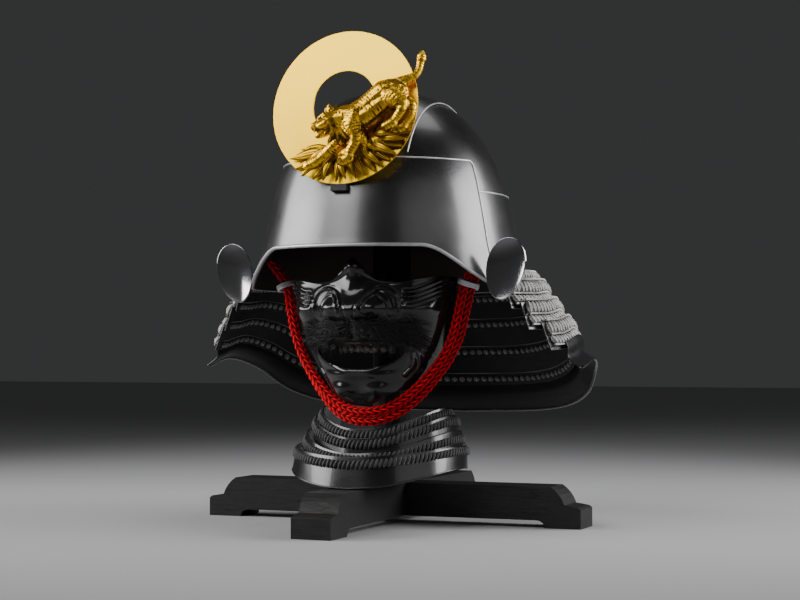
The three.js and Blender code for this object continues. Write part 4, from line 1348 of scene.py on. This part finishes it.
def crest():
    crest_disc()
    crest_tiger()
    crest_leaves()


# ---- mask -----------------------------------------------------------------------------------------
# Level sections of the mask: height, half width, and how far forward its middle and its edges lie.
MASK_ROWS = ((118.5, 30, -80, -48), (130, 42, -88, -40), (146, 54, -92, -34), (172, 68, -98, -34),
             (205, 78, -104, -38), (236, 82, -103, -42), (262, 83, -101, -44))
# The mask's edges, in millimetres: how high they lie, and what the bridge, ends and jaw's corners add.
MASK.low, MASK.top, MASK.bridge, MASK.bridge_half = 118.5, 234, 23, 15 / 84
MASK.ends_up, MASK.jaw_up = 6, 14
# Carved forms, in millimetres: across, height, half sizes and how far they stand out.
Form = namedtuple("Form", "x z wide high out")
MASK_FORMS = (
    Form(0, 250, 9, 8, 8),  # brow knot
    Form(0, 234, 9, 14, 4),  # bridge
    Form(0, 207, 14, 13, 13),  # nose tip
    Form(25, 209, 9.5, 9.5, 10),  # nostril wing
    Form(13, 213, 8, 14, 5),  # wing flank
    Form(62, 208, 17, 7.5, 7),  # cheekbone
    Form(56, 228, 18, 14, 3),  # under the eye
    Form(46, 187, 14, 13, -5),  # cheek hollow
    Form(20, 184, 26, 7, 4),  # upper lip
    Form(12, 146.5, 26, 5, 4),  # lower lip
    Form(20, 131.5, 12, 10, 7),  # chin lobe
)
# Carved ridges, in millimetres: points across and up, half width, and how far each stands out.
Ridge = namedtuple("Ridge", "points wide out")
MASK_RIDGES = (
    # wrinkle 1
    Ridge(((49, 224.4), (57, 225), (68, 230), (78, 236.4)), 1.2, 1.5),
    # wrinkle 2
    Ridge(((48, 220), (56, 220.4), (67, 225.2), (77.5, 231.6)), 1.2, 1.5),
    # wrinkle 3
    Ridge(((49, 216), (56, 216.2), (66, 220.8), (77, 227)), 1.2, 1.4),
    # wrinkle 4
    Ridge(((51, 212.6), (57, 212.4), (66, 216.4), (76, 222.4)), 1.1, 1.2),
    # outer wing line
    Ridge(((7, 201), (10, 214), (17, 224), (26.5, 228.5), (36, 226), (42.5, 219), (44, 208)), 1.2, 1.5),
    # inner wing line
    Ridge(((12.5, 206), (15.5, 216), (23, 223), (31, 219), (35.5, 211), (36, 203)), 1.1, 1.2),
    # smile line 1
    Ridge(((47.5, 176), (51, 166), (49, 155), (42, 146)), 1.3, 1.9),
    # smile line 2
    Ridge(((52, 176), (55, 165), (53, 153.5), (45, 143)), 1.2, 1.6),
    # smile line 3
    Ridge(((56.5, 175), (58.6, 164), (56.5, 152), (48, 140.6)), 1.2, 1.3),
    # smile line 4
    Ridge(((60.6, 173), (61.8, 163), (59.6, 151), (52, 140)), 1.1, 0.9),
    # brow rim
    Ridge(((8, 246), (18, 240), (34, 237), (58, 240), (80, 245)), 2.2, 1.2),
)


def near_line(x, z, points):
    """How far a place lies from a line through points."""
    best = 1e9
    for (ax, az), (bx, bz) in zip(points, points[1:]):
        along = (bx - ax) ** 2 + (bz - az) ** 2
        t = min(max(((x - ax) * (bx - ax) + (z - az) * (bz - az)) / along, 0), 1)
        best = min(best, (x - mix(ax, bx, t)) ** 2 + (z - mix(az, bz, t)) ** 2)
    return sqrt(best)


RIDGE_LINES = [[(p.x, p.z) for p in smooth_path([Vector((x, 0, z)) for x, z in ridge.points], 6)]
               for ridge in MASK_RIDGES]


def mouth_ring(x, z):
    """1 on the mouth's edge, less inside it and more outside."""
    side = x / (MOUTH.half_wide / MM)
    middle = MOUTH.z / MM + MOUTH.smile / MM * side ** 2
    return sqrt(side ** 2 + ((z - middle) / (MOUTH.half_high / MM)) ** 2)


def carving(x, z):
    """How far the mask's carved forms stand out at a place, in millimetres; both sides are alike."""
    x = abs(x)
    out = 0
    for form in MASK_FORMS:
        out += form.out * bell(x - form.x, form.wide) * bell(z - form.z, form.high)
    for ridge, line in zip(MASK_RIDGES, RIDGE_LINES):
        gap = near_line(x, z, line)
        if gap < 8:
            crest = bell(gap, ridge.wide) - 0.45 * bell(gap - 2.1 * ridge.wide, ridge.wide)
            out += ease(gap, 8, 4) * ridge.out * crest
    lip = mouth_ring(x, z)
    return out + 1.3 * bell(lip - 1.12, 0.16)


def mask_skin(x, deep, z):
    """A place on the mask: deep runs from 0 at its side edges to 1 in front."""
    _, front, edge = between(MASK_ROWS, z)
    return Vector((x, mix(edge, front, deep ** MASK.power) - carving(x, z), z)) * MM


def mask_point(u, v):
    turn = radians(mix(-90, 90, u))
    x0 = sin(turn)
    top = MASK.top + MASK.bridge * bell(x0, MASK.bridge_half) + MASK.ends_up * ease(abs(x0), 0.5, 1)
    low = MASK.low + MASK.jaw_up * ease(abs(x0), 0.3, 1)
    z = mix(low, top, v)
    return mask_skin(between(MASK_ROWS, z)[0] * x0, max(cos(turn), 0), z)


def mask_face():
    bm = fine_grid(252, 172, mask_point)

    def ring(place):
        """Where a place lies around the mouth; what is behind the face counts as far outside."""
        return mouth_ring(place.x / MM, place.z / MM) if place.y < -0.06 else 9

    drop(bm, lambda place: ring(place) < 1)
    for vert in bm.verts:
        around = ring(vert.co)
        if vert.is_boundary and around < 1.3:
            vert.co.x /= around
            vert.co.z = MOUTH.z + (vert.co.z - MOUTH.z) / around
    walled(bm, "mask_shell", FINISH.mask, "mask_lacquer", MASK.wall, 0.6 * MM, inner=FINISH.mask_red)


# The arc of the teeth, in millimetres, and their number, half turn in degrees and half sizes.
TEETH = Sizes(wide=46, deep=43, y=-38, z=172.5, gum_z=177.5, count=8, half_turn=36, half_wide=3.4,
              half_deep=2.6, high=5.4, canine=6.6)


def tooth_place(turn, z):
    """A place on the arc of the teeth, at a turn in degrees."""
    turn = radians(turn)
    return Vector((TEETH.wide * sin(turn), TEETH.y - TEETH.deep * cos(turn), z)) * MM


def mask_teeth():
    """Upper teeth side by side on a gum behind the lip; the outermost are the longest."""
    bm = lump_mesh()
    for i in range(TEETH.count):
        turn = mix(-TEETH.half_turn, TEETH.half_turn, i / (TEETH.count - 1))
        out = Vector((sin(radians(turn)), -cos(radians(turn)), 0))
        high = TEETH.high if 0 < i < TEETH.count - 1 else TEETH.canine
        across = out.cross(Vector((0, 0, 1))) * TEETH.half_wide * MM
        lump(bm, tooth_place(turn, TEETH.z), across, Vector((0, 0, high * MM)), out * TEETH.half_deep * MM,
             12, 8)
    piece(bm, "mask_upper_teeth", FINISH.teeth, "teeth", ["mask_upper_teeth"])
    gum = [tooth_place(turn, TEETH.gum_z) for turn in range(-42, 43, 4)]
    rods([gum], "mask_gum", FINISH.mask_red, "mask_lacquer", 3 * MM, 8)


# The moustache's hairs, in millimetres and radians: where they root, and the ranges drawn from.
HAIR = Sizes(count=1500, thick=0.22 * MM, steps=8, half=54, z=191.5, fall=4, rows=(-11, 7),
             heading=(-0.25, 0.45), reach=(8, 19), lift=(1.5, 7), curl=(0.8, 2.2),
             tapers=(1, 1, 1, 1, 0.9, 0.8, 0.6, 0.25))


def moustache():
    """Hairs that start beside the nose and sweep outwards and down."""
    rand = random.Random(7)
    lines = []
    for _ in range(HAIR.count):
        way = rand.choice((-1, 1))
        root = rand.random() ** 0.85
        x = HAIR.half * root
        z = HAIR.z - HAIR.fall * root + rand.uniform(*HAIR.rows)
        heading = rand.gauss(*HAIR.heading)
        reach = rand.uniform(*HAIR.reach)
        lift = rand.uniform(*HAIR.lift)
        curl = rand.uniform(*HAIR.curl)
        phase = rand.uniform(0, 6)
        line = []
        for i in range(HAIR.steps):
            t = i / (HAIR.steps - 1)
            wave = curl * sin(phase + 7 * t) * t
            across = x + reach * t * cos(heading) - wave * sin(heading)
            height = z + reach * t * sin(heading) - 2.5 * t ** 2 + wave
            skin = surface_at(across, height)
            out = 0.5 + lift * sin(pi * min(1, 0.1 + 0.75 * t)) + 0.5 * curl * sin(2 * phase + 6 * t) * t
            line.append(Vector((way * across, skin.y / MM - out, height)) * MM)
        lines.append(line)
    rods(lines, "mask_moustache", FINISH.hair, "hair", HAIR.thick, 4, replaces=["mask_moustache"],
         tapers=HAIR.tapers)


def surface_at(x, z):
    """The mask's face at a place across and up, in millimetres."""
    x0 = min(x / between(MASK_ROWS, z)[0], 0.99)
    return mask_skin(x, sqrt(1 - x0 ** 2), z)


def mask():
    mask_face()
    mask_teeth()
    moustache()


# ---- stand ----------------------------------------------------------------------------------------
def carried_over(name, finish, slot):
    """A solid whose own mesh stays, with its finish."""
    node = frame["nodes"][name]
    node.data.materials.clear()
    node.data.materials.append(finish)
    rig.slot(node, slot)


def stand():
    carried_over("stand_board_wide", FINISH.wood_wide, "wood")
    carried_over("stand_board_deep", FINISH.wood_deep, "wood")
    carried_over("support_post", FINISH.wood_post, "wood")
    carried_over("crest_holder", FINISH.iron, "black_iron")


# ---- floor and light ------------------------------------------------------------------------------
def studio():
    bm = bmesh.new()
    bmesh.ops.create_grid(bm, x_segments=1, y_segments=1, size=6)
    mesh = bpy.data.meshes.new("floor")
    bm.to_mesh(mesh)
    bm.free()
    finish = clouded("floor", (0.43, 0.43, 0.44), (0.46, 0.46, 0.47), (3, 2, 0, 1), roughness=0.5)
    mesh.materials.append(finish)
    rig.stage(in_scene("floor", mesh))
    world = bpy.data.worlds.new("studio")
    world.use_nodes = True
    world.node_tree.nodes["Background"].inputs["Color"].default_value = (0.75, 0.76, 0.78, 1)
    world.node_tree.nodes["Background"].inputs["Strength"].default_value = 0.05
    bpy.context.scene.world = world
    softbox("left softbox", (-1.16, -0.46, 0.66), (0, 0, 0.30), (1.2, 0.6), 9.5, 110)
    softbox("crest softbox", (-0.48, -1.10, 1.12), (0, -0.1, 0.40), (0.9, 0.7), 2.0, 70)
    softbox("right softbox", (1.10, 0.45, 0.62), (0, 0, 0.27), (0.8, 0.7), 8.5, 110)
    softbox("right fill", (1.10, -0.62, 0.62), (0, 0, 0.27), (1.1, 0.9), 0.9, 110)
    softbox("top softbox", (0.15, 0.45, 1.55), (0, 0, 0.3), (1.0, 0.5), 3, 150)


def softbox(name, place, aim, size, power, spread):
    """A rectangular light with a grid that narrows its beam to `spread` degrees."""
    light = bpy.data.lights.new(name, "AREA")
    light.shape = "RECTANGLE"
    light.size, light.size_y = size
    light.energy = power
    light.spread = radians(spread)
    lamp = in_scene(name, light)
    lamp.location = place
    lamp.rotation_euler = (Vector(aim) - Vector(place)).to_track_quat("-Z", "Y").to_euler()


# ---- making ---------------------------------------------------------------------------------------
aim_camera()
chin_cords()
bowl()
lining()
turn_back("turn_back_left", 1)
turn_back("turn_back_right", -1)
neck_guard()
throat_guard()
crest()
mask()
stand()
studio()

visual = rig.bounds()
with open("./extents.json", "w") as out:
    json.dump({"cad": [list(corner) for corner in CAD_BOX], "visual": [list(corner) for corner in visual]}, out)
